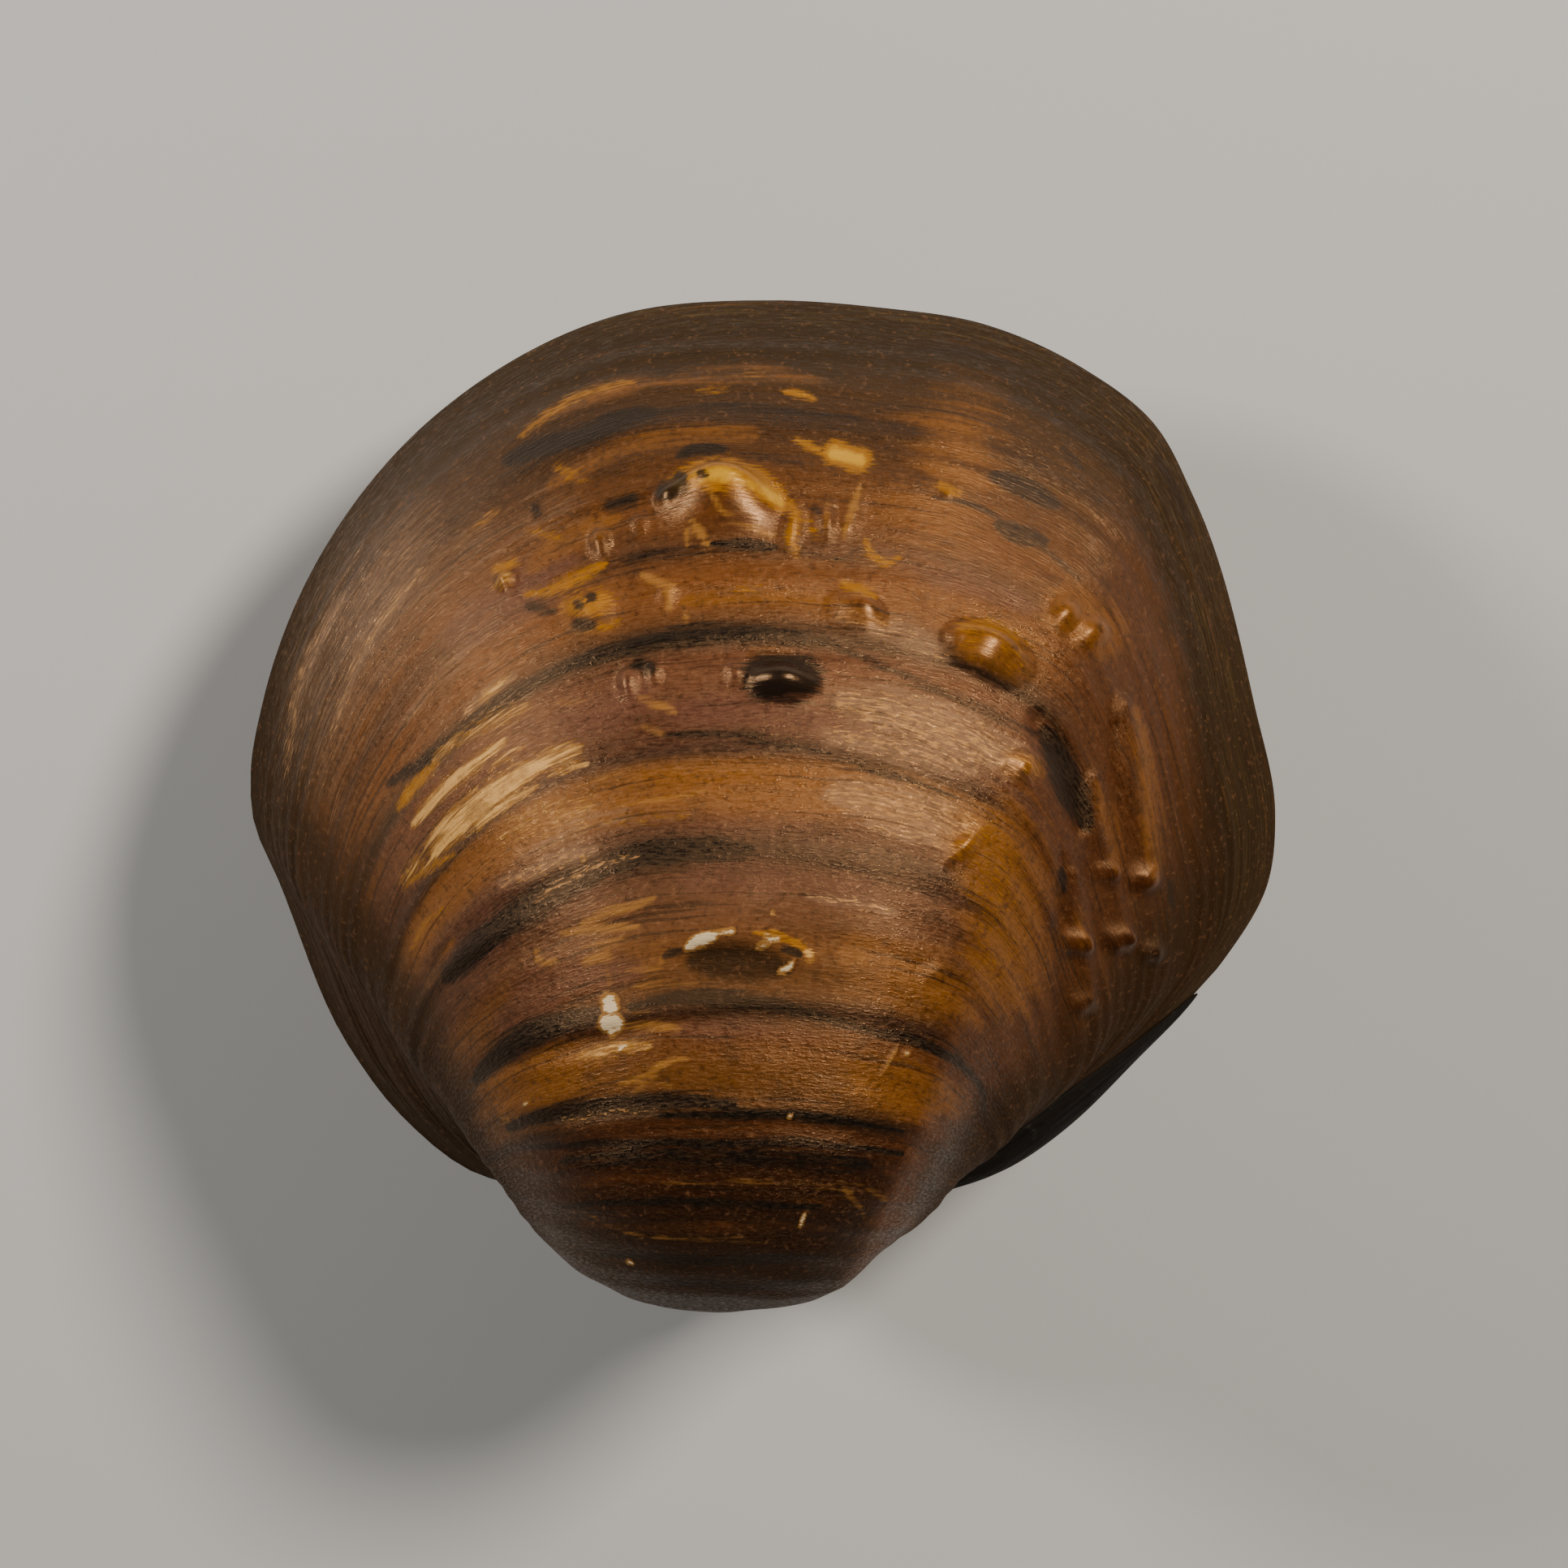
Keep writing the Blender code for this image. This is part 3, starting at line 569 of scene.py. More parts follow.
# The right valve, which shows. Knobs: seen place, half length, half width towards the free edge
# and towards the beak, bow, rise, turn. Strokes: width, strength, points. All in millimetres.
rightValveLook = {
    "seed": 11,
    "columnBands": [  # places round the margin: start, end, how many columns
        (0, 0.16, 22), (0.16, 0.28, 50), (0.28, 0.62, 210), (0.62, 0.74, 50), (0.74, 1, 22)],
    "rowCounts": (14, 0.24, 246),  # rows to a stage near the beak tip, and rows from there
    "hollowRows": (11, 0.8),  # how many, and closer at the rim by this power
    "rests": [  # stage, and how strong against the others
        (0.32, 0.7), (0.345, 0.7), (0.372, 1.2), (0.405, 0.6), (0.44, 1.2), (0.485, 0.6), (0.53, 0.6),
        (0.555, 0.9), (0.605, 1.3), (0.655, 0.7), (0.69, 1.3), (0.735, 0.6), (0.765, 0.8), (0.815, 0.7),
        (0.865, 0.9), (0.905, 0.7), (0.94, 0.8)],
    "restWidth": 0.008, "restHeight": 0.26,
    "swell": 0.1, "ripple": 0.045,
    "polishedFrom": 0.6,  # knobs this high are rubbed smooth
    "knobs": [
        (-1.7, 19.2, 5.8, 4.2, 1.7, 1.6, 1.05, -2), (-2.8, 50.9, 5, 1.7, 4.5, 2.1, 1.9, -5),
        (-6.7, 49.3, 1.1, 0.8, 0.9, 0, 0.5, 20), (-11.2, 46.2, 1, 1.5, 1.5, 0, 0.5, 10),
        (-8.4, 47.4, 0.9, 1.1, 1.1, 0, 0.25, 0), (2, 47.2, 1, 2, 2, 0, 0.4, -8),
        (4.4, 47.4, 1, 2, 1.8, 0, 0.45, 8), (6, 47.5, 0.9, 2.1, 1.9, 0, 0.3, -20),
        (6.9, 42, 2.5, 1.3, 2.3, 0.8, 0.9, -28), (-11.9, 41.7, 2.1, 1.3, 1.8, 0.3, 0.7, 0),
        (-6.6, 42.5, 1, 0.8, 1.2, 0, 0.25, 0), (1.4, 36.9, 3.3, 1.6, 1.9, 0.3, 1.3, -6),
        (-1.9, 37.1, 1, 1.3, 1.3, 0, 0.45, 0), (-9.3, 36.6, 1, 1.5, 1.5, 0, 0.5, 0),
        (-7.5, 37.2, 0.9, 1.2, 1.2, 0, 0.3, 0), (15.9, 39.3, 3.9, 1.8, 2.9, 0.5, 1.4, -24),
        (13.1, 39.5, 0.8, 0.8, 0.8, 0, 0.25, 0), (20.9, 41.3, 1.5, 1.5, 1.6, 0, 0.65, -20),
        (22.9, 40.1, 1.7, 1.3, 1.9, 0, 0.7, -20), (18, 30.9, 1.5, 1.5, 1.6, 0, 0.65, 0),
        (16.5, 31.2, 0.8, 0.8, 1, 0, 0.3, 0), (14.1, 25.5, 1.8, 0.9, 1, 0, 0.5, 42),
        (12.6, 24.3, 0.7, 0.7, 0.7, 0, 0.2, 0), (26.6, 22.9, 1.4, 1.4, 1.4, 0, 0.8, 0),
        (23.9, 23.4, 1.1, 1.1, 1.1, 0, 0.5, 0), (22, 18.5, 1.3, 1.3, 1.3, 0, 0.75, 0),
        (24.9, 18.7, 1.5, 1.4, 1.4, 0, 0.75, -40), (26.9, 17.9, 1.2, 1.2, 1.2, 0, 0.5, 0),
        (22.2, 14.3, 1.1, 1.2, 1.1, 0, 0.5, 0), (11.9, 16.5, 1.5, 1, 1, 0, 0.22, 0),
        (12.8, 49.5, 0.6, 0.6, 0.6, 0, 0.25, 0), (-17.8, 43.6, 0.9, 0.8, 1.1, 0, 0.6, 20)],
    "ridges": [  # folds down the posterior slope
        (1.5, 0.45, (24.5, 35), (25.2, 31.5), (25.9, 27.5), (26.5, 24)),
        (1.4, 0.35, (22.7, 30), (23, 26.5), (23.8, 23.8), (24.3, 20.8), (24.9, 19)),
        (1.2, 0.3, (21.2, 23.5), (21.7, 20.5), (22, 18.5), (22.1, 15))],
    "furrows": [
        (1.8, 0.5, (18.8, 33.8), (20.2, 31.3), (21.3, 28.5), (21.9, 26.3)),
        (1.2, 0.25, (23.9, 33.5), (24.2, 29.5), (24.6, 26), (25.2, 22)),
        (1.2, 0.25, (22.3, 25.5), (22.9, 21.5), (23.4, 18)),
        (1.2, 0.2, (20.3, 24.5), (20.6, 20.5), (20.6, 15), (20.2, 11)),
        (1.2, 0.12, (-5.6, 16.9), (-3, 16.4), (0, 16.2), (2.4, 16.5))],
    "marginDirt": [  # place round the margin, and the stage where it starts
        (0, 0.9), (0.18, 0.93), (0.28, 0.92), (0.38, 0.88), (0.5, 0.88), (0.56, 0.84), (0.66, 0.8),
        (0.75, 0.82), (1, 0.9)],
    "dirtFade": 0.1,
    # the umber shades are painted shade on both flanks and towards the beak, where the valve turns from
    # the lamps
    "shades": [  # mark, by place 0 or stage 1, from, full at, strength
        ("umber", 0, 0.24, 0.17, 0.9), ("umber", 0, 0.6, 0.69, 0.85), ("russet", 0, 0.52, 0.57, 0.95),
        ("umber", 1, 0.3, 0.19, 0.75), ("matte", 1, 0.34, 0.22, 0.7), ("matte", 0, 0.25, 0.17, 1),
        ("matte", 0, 0.6, 0.68, 1)],
    "matte": [(8, 1.2, (-5.4, 18.5), (-2, 18.5), (1.8, 18.5)), (3, 0.8, (-12.6, 41.7), (-11.2, 41.7))],
    "charcoal": [
        (2.1, 0.95, (-21.5, 16.3), (-19.5, 18.3), (-17, 20.3), (-14, 22.2), (-10.5, 23.8)),
        (2, 0.9, (-11.5, 23.5), (-8, 24.6), (-4, 25), (-1, 24.9)),
        (0.9, 0.5, (-1.5, 24.8), (3.5, 24.3), (8, 23.2), (12, 21.8)),
        (2.2, 0.6, (-13.5, 3.8), (-8, 4), (0, 4), (7, 3.4)),
        (0.6, 0.8, (-14, 0.6), (-8, 0.9), (-2, 0.8), (4, 0.5)),
        (0.8, 0.7, (-11, -2.6), (-4, -3.1), (4, -2.9)), (0.8, 0.7, (-8, -4.4), (-1, -4.9), (5, -4.4)),
        (1.6, 0.95, (-19.5, 9.3), (-17.5, 11.5), (-14.5, 13), (-11, 13.8)),
        (1.2, 0.8, (-9, 14.2), (-6, 14.9), (-2.5, 14.9), (1, 14.3), (4.5, 13.4)),
        (0.8, 0.8, (3.5, 13.6), (7.5, 12.5), (10.5, 11.9), (13, 10.7), (14.8, 8.8), (15.2, 7)),
        (1.3, 0.95, (-17.3, 6), (-14.5, 6.9), (-11, 7.4), (-6, 7.8), (-2, 7.5)),
        (0.7, 0.8, (-7, 6.8), (0, 6.9), (5, 6.5), (9.5, 5.7)),
        (0.7, 0.8, (-16.5, 4.6), (-10, 4.9), (-3, 4.9), (4, 4.8), (9.5, 4.2)),
        (1.5, 0.9, (-17.5, 51.5), (-15, 52.6), (-12.5, 53.2), (-9.5, 54.4), (-7.5, 54.8)),
        (0.9, 0.5, (-7.5, 54.8), (-3.9, 55.3), (0.6, 55), (4.4, 54.6), (6.8, 54.4)),
        (0.9, 0.8, (-5.8, 51.9), (-4.6, 52.3), (-2.5, 52.3)), (0.8, 0.45, (-2.5, 52.2), (2.8, 51.3)),
        (0.8, 0.95, (-3.4, 45.8), (-1.5, 45.9), (0.8, 45.6)),
        (0.8, 0.45, (1.9, 45.3), (5.5, 44.8), (8.3, 44.2)), (1, 0.5, (-9.5, 44.9), (-4, 45.4)),
        (1.2, 0.85, (-25.5, 29.5), (-22.2, 31.7), (-19.4, 33.9), (-16.6, 35.9), (-13, 37.6)),
        (1.5, 0.75, (-13.5, 37.4), (-10, 38.7), (-5, 39.7), (0, 39.7), (4.5, 39.1)),
        (0.8, 0.65, (4, 39.2), (8.9, 37.2), (14, 35), (18.9, 32.8)),
        (1, 0.6, (-6.7, 32.8), (-2.2, 32.8), (1.1, 32.3), (5.5, 31.2), (13.3, 28.4)),
        (1.2, 1.5, (15.8, 50.5), (17.9, 49.7), (20, 48.5)),
        (1.1, 1.4, (16.1, 47.2), (17.3, 46.6), (19.2, 46)),
        (0.6, 0.7, (11.6, 49.1), (14.4, 48.5), (16.4, 47.5)),
        (0.6, 0.6, (18.6, 45.9), (20.2, 44.8), (21.6, 43.4)), (0.6, 0.6, (20.4, 52.6), (21.9, 51)),
        (0.7, 0.5, (22.7, 49.1), (23.1, 48.8)), (2.2, 0.9, (19.4, 33), (20.6, 30.3), (22.1, 26.8)),
        (0.8, 0.7, (20.4, 23.7), (20.5, 22)), (0.6, 0.8, (27.8, 22.9), (28, 21)),
        (0.8, 0.7, (10.5, 59.2), (13.9, 59), (16.9, 58.2)),
        (0.7, 0.7, (26.9, 52), (28.3, 49.2), (29.4, 46.4)), (2.9, 1, (0, 36.8), (2.6, 36.8)),
        (1.1, 0.8, (-8.5, 37.7), (-7.8, 37.4)), (1.3, 1, (-6.6, 49.5), (-5.6, 49.8)),
        (0.6, 1, (-5.8, 50.5), (-5.5, 50.5)), (0.6, 0.9, (-4.3, 50.6), (-4, 50.6)),
        (0.6, 1, (-12.7, 41.7), (-12.5, 41.7)), (0.6, 1, (-11.8, 42.2), (-11.6, 42.2)),
        (0.8, 0.95, (-12.7, 40.4), (-11.8, 40.3)), (0.9, 0.7, (-16.2, 41.6), (-14.2, 41.2)),
        (1.2, 0.7, (-10.4, 48.5), (-9, 48.9)), (0.8, 0.7, (-15.6, 48.4), (-15.4, 47.9)),
        # the dark stroke at (1.2, 18.3) is painted shade under the shelf knob's crest
        (0.7, 0.7, (3.5, 48.3), (3.8, 48.1)), (0.6, 0.9, (1.2, 18.3), (2.6, 17.8)),
        (0.6, 0.8, (-6.8, 17.6), (-5.6, 18.2))],
    "umber": [  # dark browns, mostly painted shade on the flanks and beak that turn from the lamps, and under the shelf knob's crest
        (7, 0.7, (-31.5, 21), (-29, 15), (-25.5, 8.5), (-20, 3.5)),
        (6, 0.9, (11.5, 0.5), (14.5, 4.3), (19.9, 8.4), (25, 12.6), (30, 17)),
        (2.6, 0.95, (-4.6, 17.3), (-2, 17.2), (1.4, 16.9)), (3, 0.45, (-8, 49), (-4, 49), (-1, 48)),
        (2, 0.45, (-9, 45), (-4, 45)), (3, 0.5, (-4, 13.9), (0, 13.7), (5, 12.9))],
    "amber": [
        (5.4, 1.1, (15.6, 25.8), (16.7, 21.5), (16.4, 16.6)), (5, 0.7, (6.5, 17.5), (13.9, 15)),
        (3.4, 1, (5.5, 9.5), (9.5, 8.8), (13.4, 7.3)), (3.4, 1, (-18, 8.3), (-15.5, 9.4), (-12, 10.2)),
        (6.1, 0.7, (13.9, 55.3), (13.3, 50.3)), (5, 0.6, (9.4, 47.5), (12.2, 47)),
        (2, 0.5, (-12.2, 27.6), (-7.8, 29.5), (-2.2, 30.3), (3.3, 29.5)),
        (1.7, 0.8, (-5.5, 42.1), (-1.1, 42.3), (3.3, 41.8), (8.3, 40.6)),
        (3.4, 1, (20.8, 41.4), (23.2, 39.8)), (1.6, 0.9, (25.4, 34.4), (26.2, 29.5), (26.8, 23.2)),
        (1.3, 0.7, (22.9, 29.5), (23.6, 26.7), (24.3, 23.5)), (1.2, 0.6, (21.6, 21), (22.1, 18)),
        (0.8, 0.7, (-26.1, 24.2), (-27.2, 20.9), (-27.1, 17.3)),
        (0.8, 0.7, (-21.1, 18.7), (-22.7, 16.2), (-23.6, 14.3)), (3.4, 1, (14.6, 39.4), (17.6, 38.4)),
        (2, 0.8, (-15.8, 44.2), (-13.3, 46.1), (-10, 47.5)), (1.7, 0.9, (17.4, 31), (18.6, 30.6)),
        (1.7, 0.7, (-14.5, 50), (-9, 52.6), (-5, 53.3), (-0.6, 53.3)),
        (1.6, 0.8, (-15, 54.6), (-12, 56), (-8, 57)), (1.2, 0.6, (-8, 57), (-1, 57.6), (4, 57)),
        (1, 0.9, (-14.5, 42.9), (-12.5, 43.8), (-10.8, 44.4)), (1, 0.8, (-12, 39.6), (-9.8, 40.4)),
        (1.2, 0.7, (-1, 38.2), (2, 38.3)), (1.6, 0.3, (-9, 9.9), (-3, 9.6), (2, 9.4))],
    "mauve": [
        (3.4, 0.7, (-17.7, 13.1), (-13.3, 15.9), (-8.9, 16.7)), (3.4, 0.6, (-16.6, 22), (-21.1, 17.6)),
        (2.6, 0.6, (-6.1, 34.2), (0, 34.5), (6.7, 33.1)),
        (3.4, 0.5, (-5, 23.1), (1.1, 22.9), (7.8, 21.7)),
        (3.9, 0.6, (-21.1, 39.8), (-16.6, 42.5), (-13.3, 44.8)),
        (2.8, 0.6, (-13.3, 33.1), (-8.9, 35.3)), (2.3, 0.5, (-5, 47.5), (1.1, 47.5)),
        (2, 0.6, (-6, 12.6), (-1, 12.8), (4, 12)), (2, 0.5, (8, 45.5), (13, 43.5), (18, 41.5))],
    "russet": [
        (2.6, 0.5, (-25.5, 17), (-27.5, 22), (-26.5, 27)), (3, 0.5, (-8, 49.3), (-2, 49)),
        (1.4, 0.5, (-15.5, 5.9), (-8, 6.2), (0, 6.1), (6, 5.6)),
        (1.2, 0.5, (-13.8, 2.2), (-9, 2.5), (-5, 2.4)), (1, 0.45, (-12.5, -0.7), (-4, -0.9), (5, -0.9)),
        (1.6, 0.8, (8.6, 3), (11, 2.4), (12.5, 3.4))],
    "sheenAndFilm": [  # mostly painted sheen and painted glints along the growth lines, partly a pale dry film
        (9, 0.6, (-30.5, 31), (-28.5, 37.5), (-24.5, 44)), (6, 0.5, (-24, 34), (-20, 39.5)),
        (4, 0.5, (-20, 45), (-14, 48)), (4.8, 1, (5.6, 35), (11.5, 33.4), (17.2, 31)),
        (4, 1, (5, 28.9), (9.5, 28), (14.2, 26.7)), (1, 0.8, (-14, 6.4), (-10.5, 7), (-7, 7.2)),
        (2.6, 0.6, (-16.5, 24.6), (-13, 26.4), (-9.5, 27.4)),
        (1.2, 0.9, (-32.6, 30), (-31.6, 36.5), (-28.6, 42.5)),
        (1.2, 0.9, (-29.4, 33), (-27.4, 38.5), (-23.5, 44)),
        (1, 0.8, (-24.4, 33.5), (-22, 37), (-18.6, 40)),
        (1.6, 0.95, (-17.8, 22.6), (-14.5, 24), (-11.6, 25)),
        (0.8, 1.15, (-20.4, 34.2), (-18.6, 35.8), (-17, 36.9)),
        (0.9, 1, (-15.8, 21.4), (-12, 23.6), (-8.5, 24.6)), (2.4, 0.8, (5, 41), (9, 40), (12.6, 38)),
        (2.4, 0.95, (4.4, 32.9), (9, 32), (14.4, 30.4)),
        (1.8, 0.95, (7.2, 26.6), (10.5, 26), (13, 25.1)), (1, 0.95, (3, 21.8), (7, 21.2), (9, 20.6))],
    "cream": [
        (0.9, 1.1, (-23.9, 26.7), (-22.3, 28.6), (-20.3, 30.3), (-17.7, 32.4)),
        (0.5, 0.8, (-23.2, 25.2), (-21.6, 27.2), (-19.6, 29.1)), (0.5, 0.7, (-18.6, 30.6), (-16.4, 32)),
        (0.8, 0.7, (-22.6, 30.9), (-21.3, 32.1), (-20.2, 32.9)),
        # painted glints: pale grey-white glints at the upper ends of the cream streaks
        (1.4, 0.55, (-21, 32.3), (-18.5, 33.7), (-16, 34.7)),
        (1.7, 1.15, (-22.4, 24.8), (-20.8, 26.7), (-18.7, 28.5), (-16.4, 30.1), (-14.8, 30.9)),
        (0.6, 0.9, (-19.6, 26.4), (-17.4, 28.1), (-15.4, 29.3)), (0.5, 0.8, (-14.6, 30), (-12, 30.9)),
        (1.6, 0.75, (-15.8, 30.6), (-14, 31.4), (-12.6, 31.9)),
        (1.6, 0.55, (-24.6, 22.8), (-23.2, 24.2), (-21.8, 25.2)),
        (2.2, 0.45, (-17.7, 25.8), (-15.2, 26.9), (-12, 28.1)), (0.8, 0.35, (-13, 26.6), (-4.9, 27.4)),
        (1, 0.75, (-12.6, 10.8), (-10.5, 11.3), (-7.8, 11.7)), (0.9, 0.8, (-18.1, 43.1), (-17.5, 43.5)),
        # the stroke at (-19.5, 35) is a painted glint
        (0.6, 0.8, (-19.5, 35), (-18.3, 36), (-17.6, 36.8)), (0.6, 0.9, (3.1, 17.8), (3.3, 17.5))],
    "ochre": [
        (1, 1, (-24.9, 27.8), (-23.6, 29.6), (-22.3, 31)),
        (0.8, 0.8, (-24.5, 22.5), (-22.7, 23.7), (-21.1, 24.7)),
        (0.8, 0.7, (-17.8, 6.6), (-17, 6.3), (-16.2, 6.7)),
        (0.9, 0.75, (-16.6, 53.2), (-15, 54.5), (-13.2, 55.7), (-11, 56.5), (-8.8, 56.9)),
        (0.9, 0.6, (-4.4, 56.3), (-2.4, 56.5)), (0.7, 0.55, (-1.2, 57.5), (0, 57.5)),
        (0.7, 1, (1.4, 56.3), (2.5, 56.1), (3.6, 55.7)), (0.8, 0.95, (2.2, 53), (3.1, 52.6), (4.2, 52)),
        (1.6, 1.45, (4.9, 52.1), (6.6, 51.6)), (0.8, 0.9, (7, 46.2), (7.5, 45), (8.4, 44.6), (9.4, 45)),
        (2.2, 1.15, (-6.3, 49.7), (-4.8, 50.4), (-2.8, 50.6), (-0.9, 50.2), (0.5, 49.4), (1.3, 48.5)),
        (1.2, 0.85, (1.9, 48.7), (2.3, 47.5), (1.9, 46.3), (2.3, 45.2)),
        (0.8, 0.7, (3.2, 47.6), (3.6, 46.4)), (0.9, 0.7, (-14, 51.1), (-12.9, 50.7)),
        (0.7, 0.6, (-13.5, 50.3), (-11.8, 50.3)), (0.9, 0.65, (-16.2, 46.9), (-13.6, 46.2)),
        (0.7, 0.6, (-20.2, 46.6), (-19, 47.5), (-18, 48.3)), (0.9, 0.9, (-18.2, 44), (-17.1, 44.6)),
        (1.1, 0.85, (-16.2, 42.4), (-14.5, 42.7), (-12.8, 43.4), (-10.8, 44.6)),
        (1.9, 0.95, (-12.8, 41.6), (-11, 41.9)), (0.8, 0.75, (-12, 39.9), (-9.8, 40.5)),
        (0.8, 0.6, (-1.7, 42.8), (-0.2, 42.7)), (0.9, 1, (5.3, 43.1), (6.6, 42.8), (7.7, 42.2)),
        # the ochre over the amber knob near (15.5, 39.5) is partly its worn crest and partly painted
        # highlight
        (0.9, 0.9, (12.3, 49.8), (13.3, 49.3)), (3.2, 0.46, (14.2, 39.8), (15.8, 39.4), (17.3, 38.4)),
        (1.2, 0.8, (13.6, 40.2), (15.6, 40.3), (17.4, 39.4)), (1.6, 0.6, (17.6, 31), (18.6, 30.6)),
        (2, 0.6, (13.4, 25), (14.8, 26.2)), (4.4, 0.38, (15.4, 25), (16.4, 21), (15.8, 17)),
        (0.7, 1, (-0.6, 19.3), (0.7, 19.2), (1.7, 18.8), (2.8, 18.2), (3.3, 17.6)),
        (0.7, 0.7, (-24.1, 18.1), (-22.9, 20.1), (-21.7, 21))],
    "scratch": [
        (0.9, 0.8, (-12.4, 19.9), (-10.5, 20.7), (-8.9, 21.1), (-7.4, 21.7)),
        (0.9, 0.8, (-13.8, 19.2), (-11.5, 19.5), (-8.6, 19.7)), (0.7, 0.6, (-12.4, 18.3), (-9.5, 18.8)),
        (0.7, 0.75, (-15.5, 18.1), (-15.2, 17.3), (-14, 17.4)), (0.9, 0.8, (-12, 17.3), (-10.6, 17.6)),
        (0.7, 0.6, (-9.4, 16.7), (-7.2, 16.9), (-6.9, 17.6)), (0.7, 0.5, (-9, 15.6), (-4.5, 15.9)),
        (0.6, 0.5, (-7.8, 18.4), (-6, 19)), (0.7, 0.6, (-10.7, 17), (-10.4, 15.6)),
        (0.9, 0.7, (-9.6, 12.8), (-7.5, 13), (-5.6, 12.7)), (0.7, 0.5, (-9.5, 13.9), (-7.8, 13.9)),
        (0.6, 0.85, (-10, 8.8), (-8, 9.5), (-6.5, 10.5), (-4.9, 10.9)),
        (0.6, 0.6, (-9.3, 7.9), (-8.4, 8.7), (-7.5, 9.3), (-6.3, 8.7)),
        (0.7, 0.75, (-3.9, 50), (-3.4, 49.1), (-2.5, 47.8), (-1, 47.1), (0.8, 46.4)),
        (0.7, 0.8, (6.7, 50), (6.1, 48.2), (5.5, 46.4)), (0.6, 0.6, (4.5, 48.9), (4.2, 46.5)),
        (0.8, 0.8, (-4.9, 47.6), (-4.2, 46.5), (-3.6, 45.5)), (0.6, 0.7, (-5.2, 46.9), (-5.2, 45.6)),
        (0.8, 0.85, (-8.3, 43.8), (-7.2, 43.2), (-5.9, 42.9)), (0.7, 0.85, (-6.4, 42.8), (-6.4, 41.5)),
        (0.6, 0.6, (-5.3, 41.4), (-5.2, 40.1)), (0.8, 0.8, (-8.5, 35.3), (-7.2, 34.9), (-5.9, 34.3)),
        (0.6, 0.7, (-8.4, 33.5), (-6.5, 32.8)), (0.7, 0.6, (-14, 34.9), (-12, 35.1)),
        (0.6, 0.6, (5.5, 1.8), (6.5, 0.6), (7, -0.2)), (0.8, 0.5, (5.2, 2.4), (7.5, 1.6), (8.5, 0.9)),
        (0.6, 0.6, (-10, 28), (-4, 28.9)), (0.6, 0.5, (-15, 25), (-11, 27)),
        (0.6, 0.5, (-13, 29), (-8, 31)),
        (0.4, 0.5, (-12.2, 0.2), (-9.5, -1.1), (-5, -1.7), (1.5, -1.7)),
        # the pale line from (-13, 6.6) to (-7, 7.3) is painted sheen on a band near the beak
        (0.5, 0.6, (-13, 6.6), (-10, 7.1), (-7, 7.3)), (0.5, 0.5, (-7, 2), (0, 2.3), (6, 1.8))],
    "chip": [
        (1, 0.95, (-5.2, 18.3), (-4.2, 18.8), (-3.2, 19.1)), (0.6, 0.75, (-3, 19.3), (-2.1, 19.4)),
        (0.6, 0.75, (0.2, 19), (1, 18.9)), (0.6, 0.7, (-0.3, 18.3), (0.4, 18.6)),
        (0.6, 0.85, (1, 16.6), (1.6, 16.8), (2.1, 17.3)), (1.2, 0.95, (-10.5, 14.6), (-10.4, 14.2)),
        (1.2, 0.95, (-10.7, 13.1), (-10, 13.1)), (0.8, 0.8, (-10.4, 12.7), (-10.3, 12.5)),
        (0.6, 0.8, (-9.8, 11.4), (-9.4, 11.6)), (0.4, 0.8, (-16.3, 7.6), (-16.2, 7.6)),
        (0.4, 0.8, (0.6, 20.7), (0.7, 20.7)), (0.4, 0.8, (-9.2, -3.2), (-9, -3.3)),
        (0.4, 0.8, (9.8, 11), (9.9, 11)), (0.4, 0.5, (8, 9.4), (9.3, 11.6)),
        # the speck at (-12.4, 24.3) is a painted glint on the dark band's upper edge
        (0.4, 0.75, (2.5, -0.9), (2.9, 0.2)), (0.4, 0.8, (-12.4, 24.3), (-12.2, 24.3)),
        (0.4, 0.8, (1.8, 6.7), (1.9, 6.7))]}

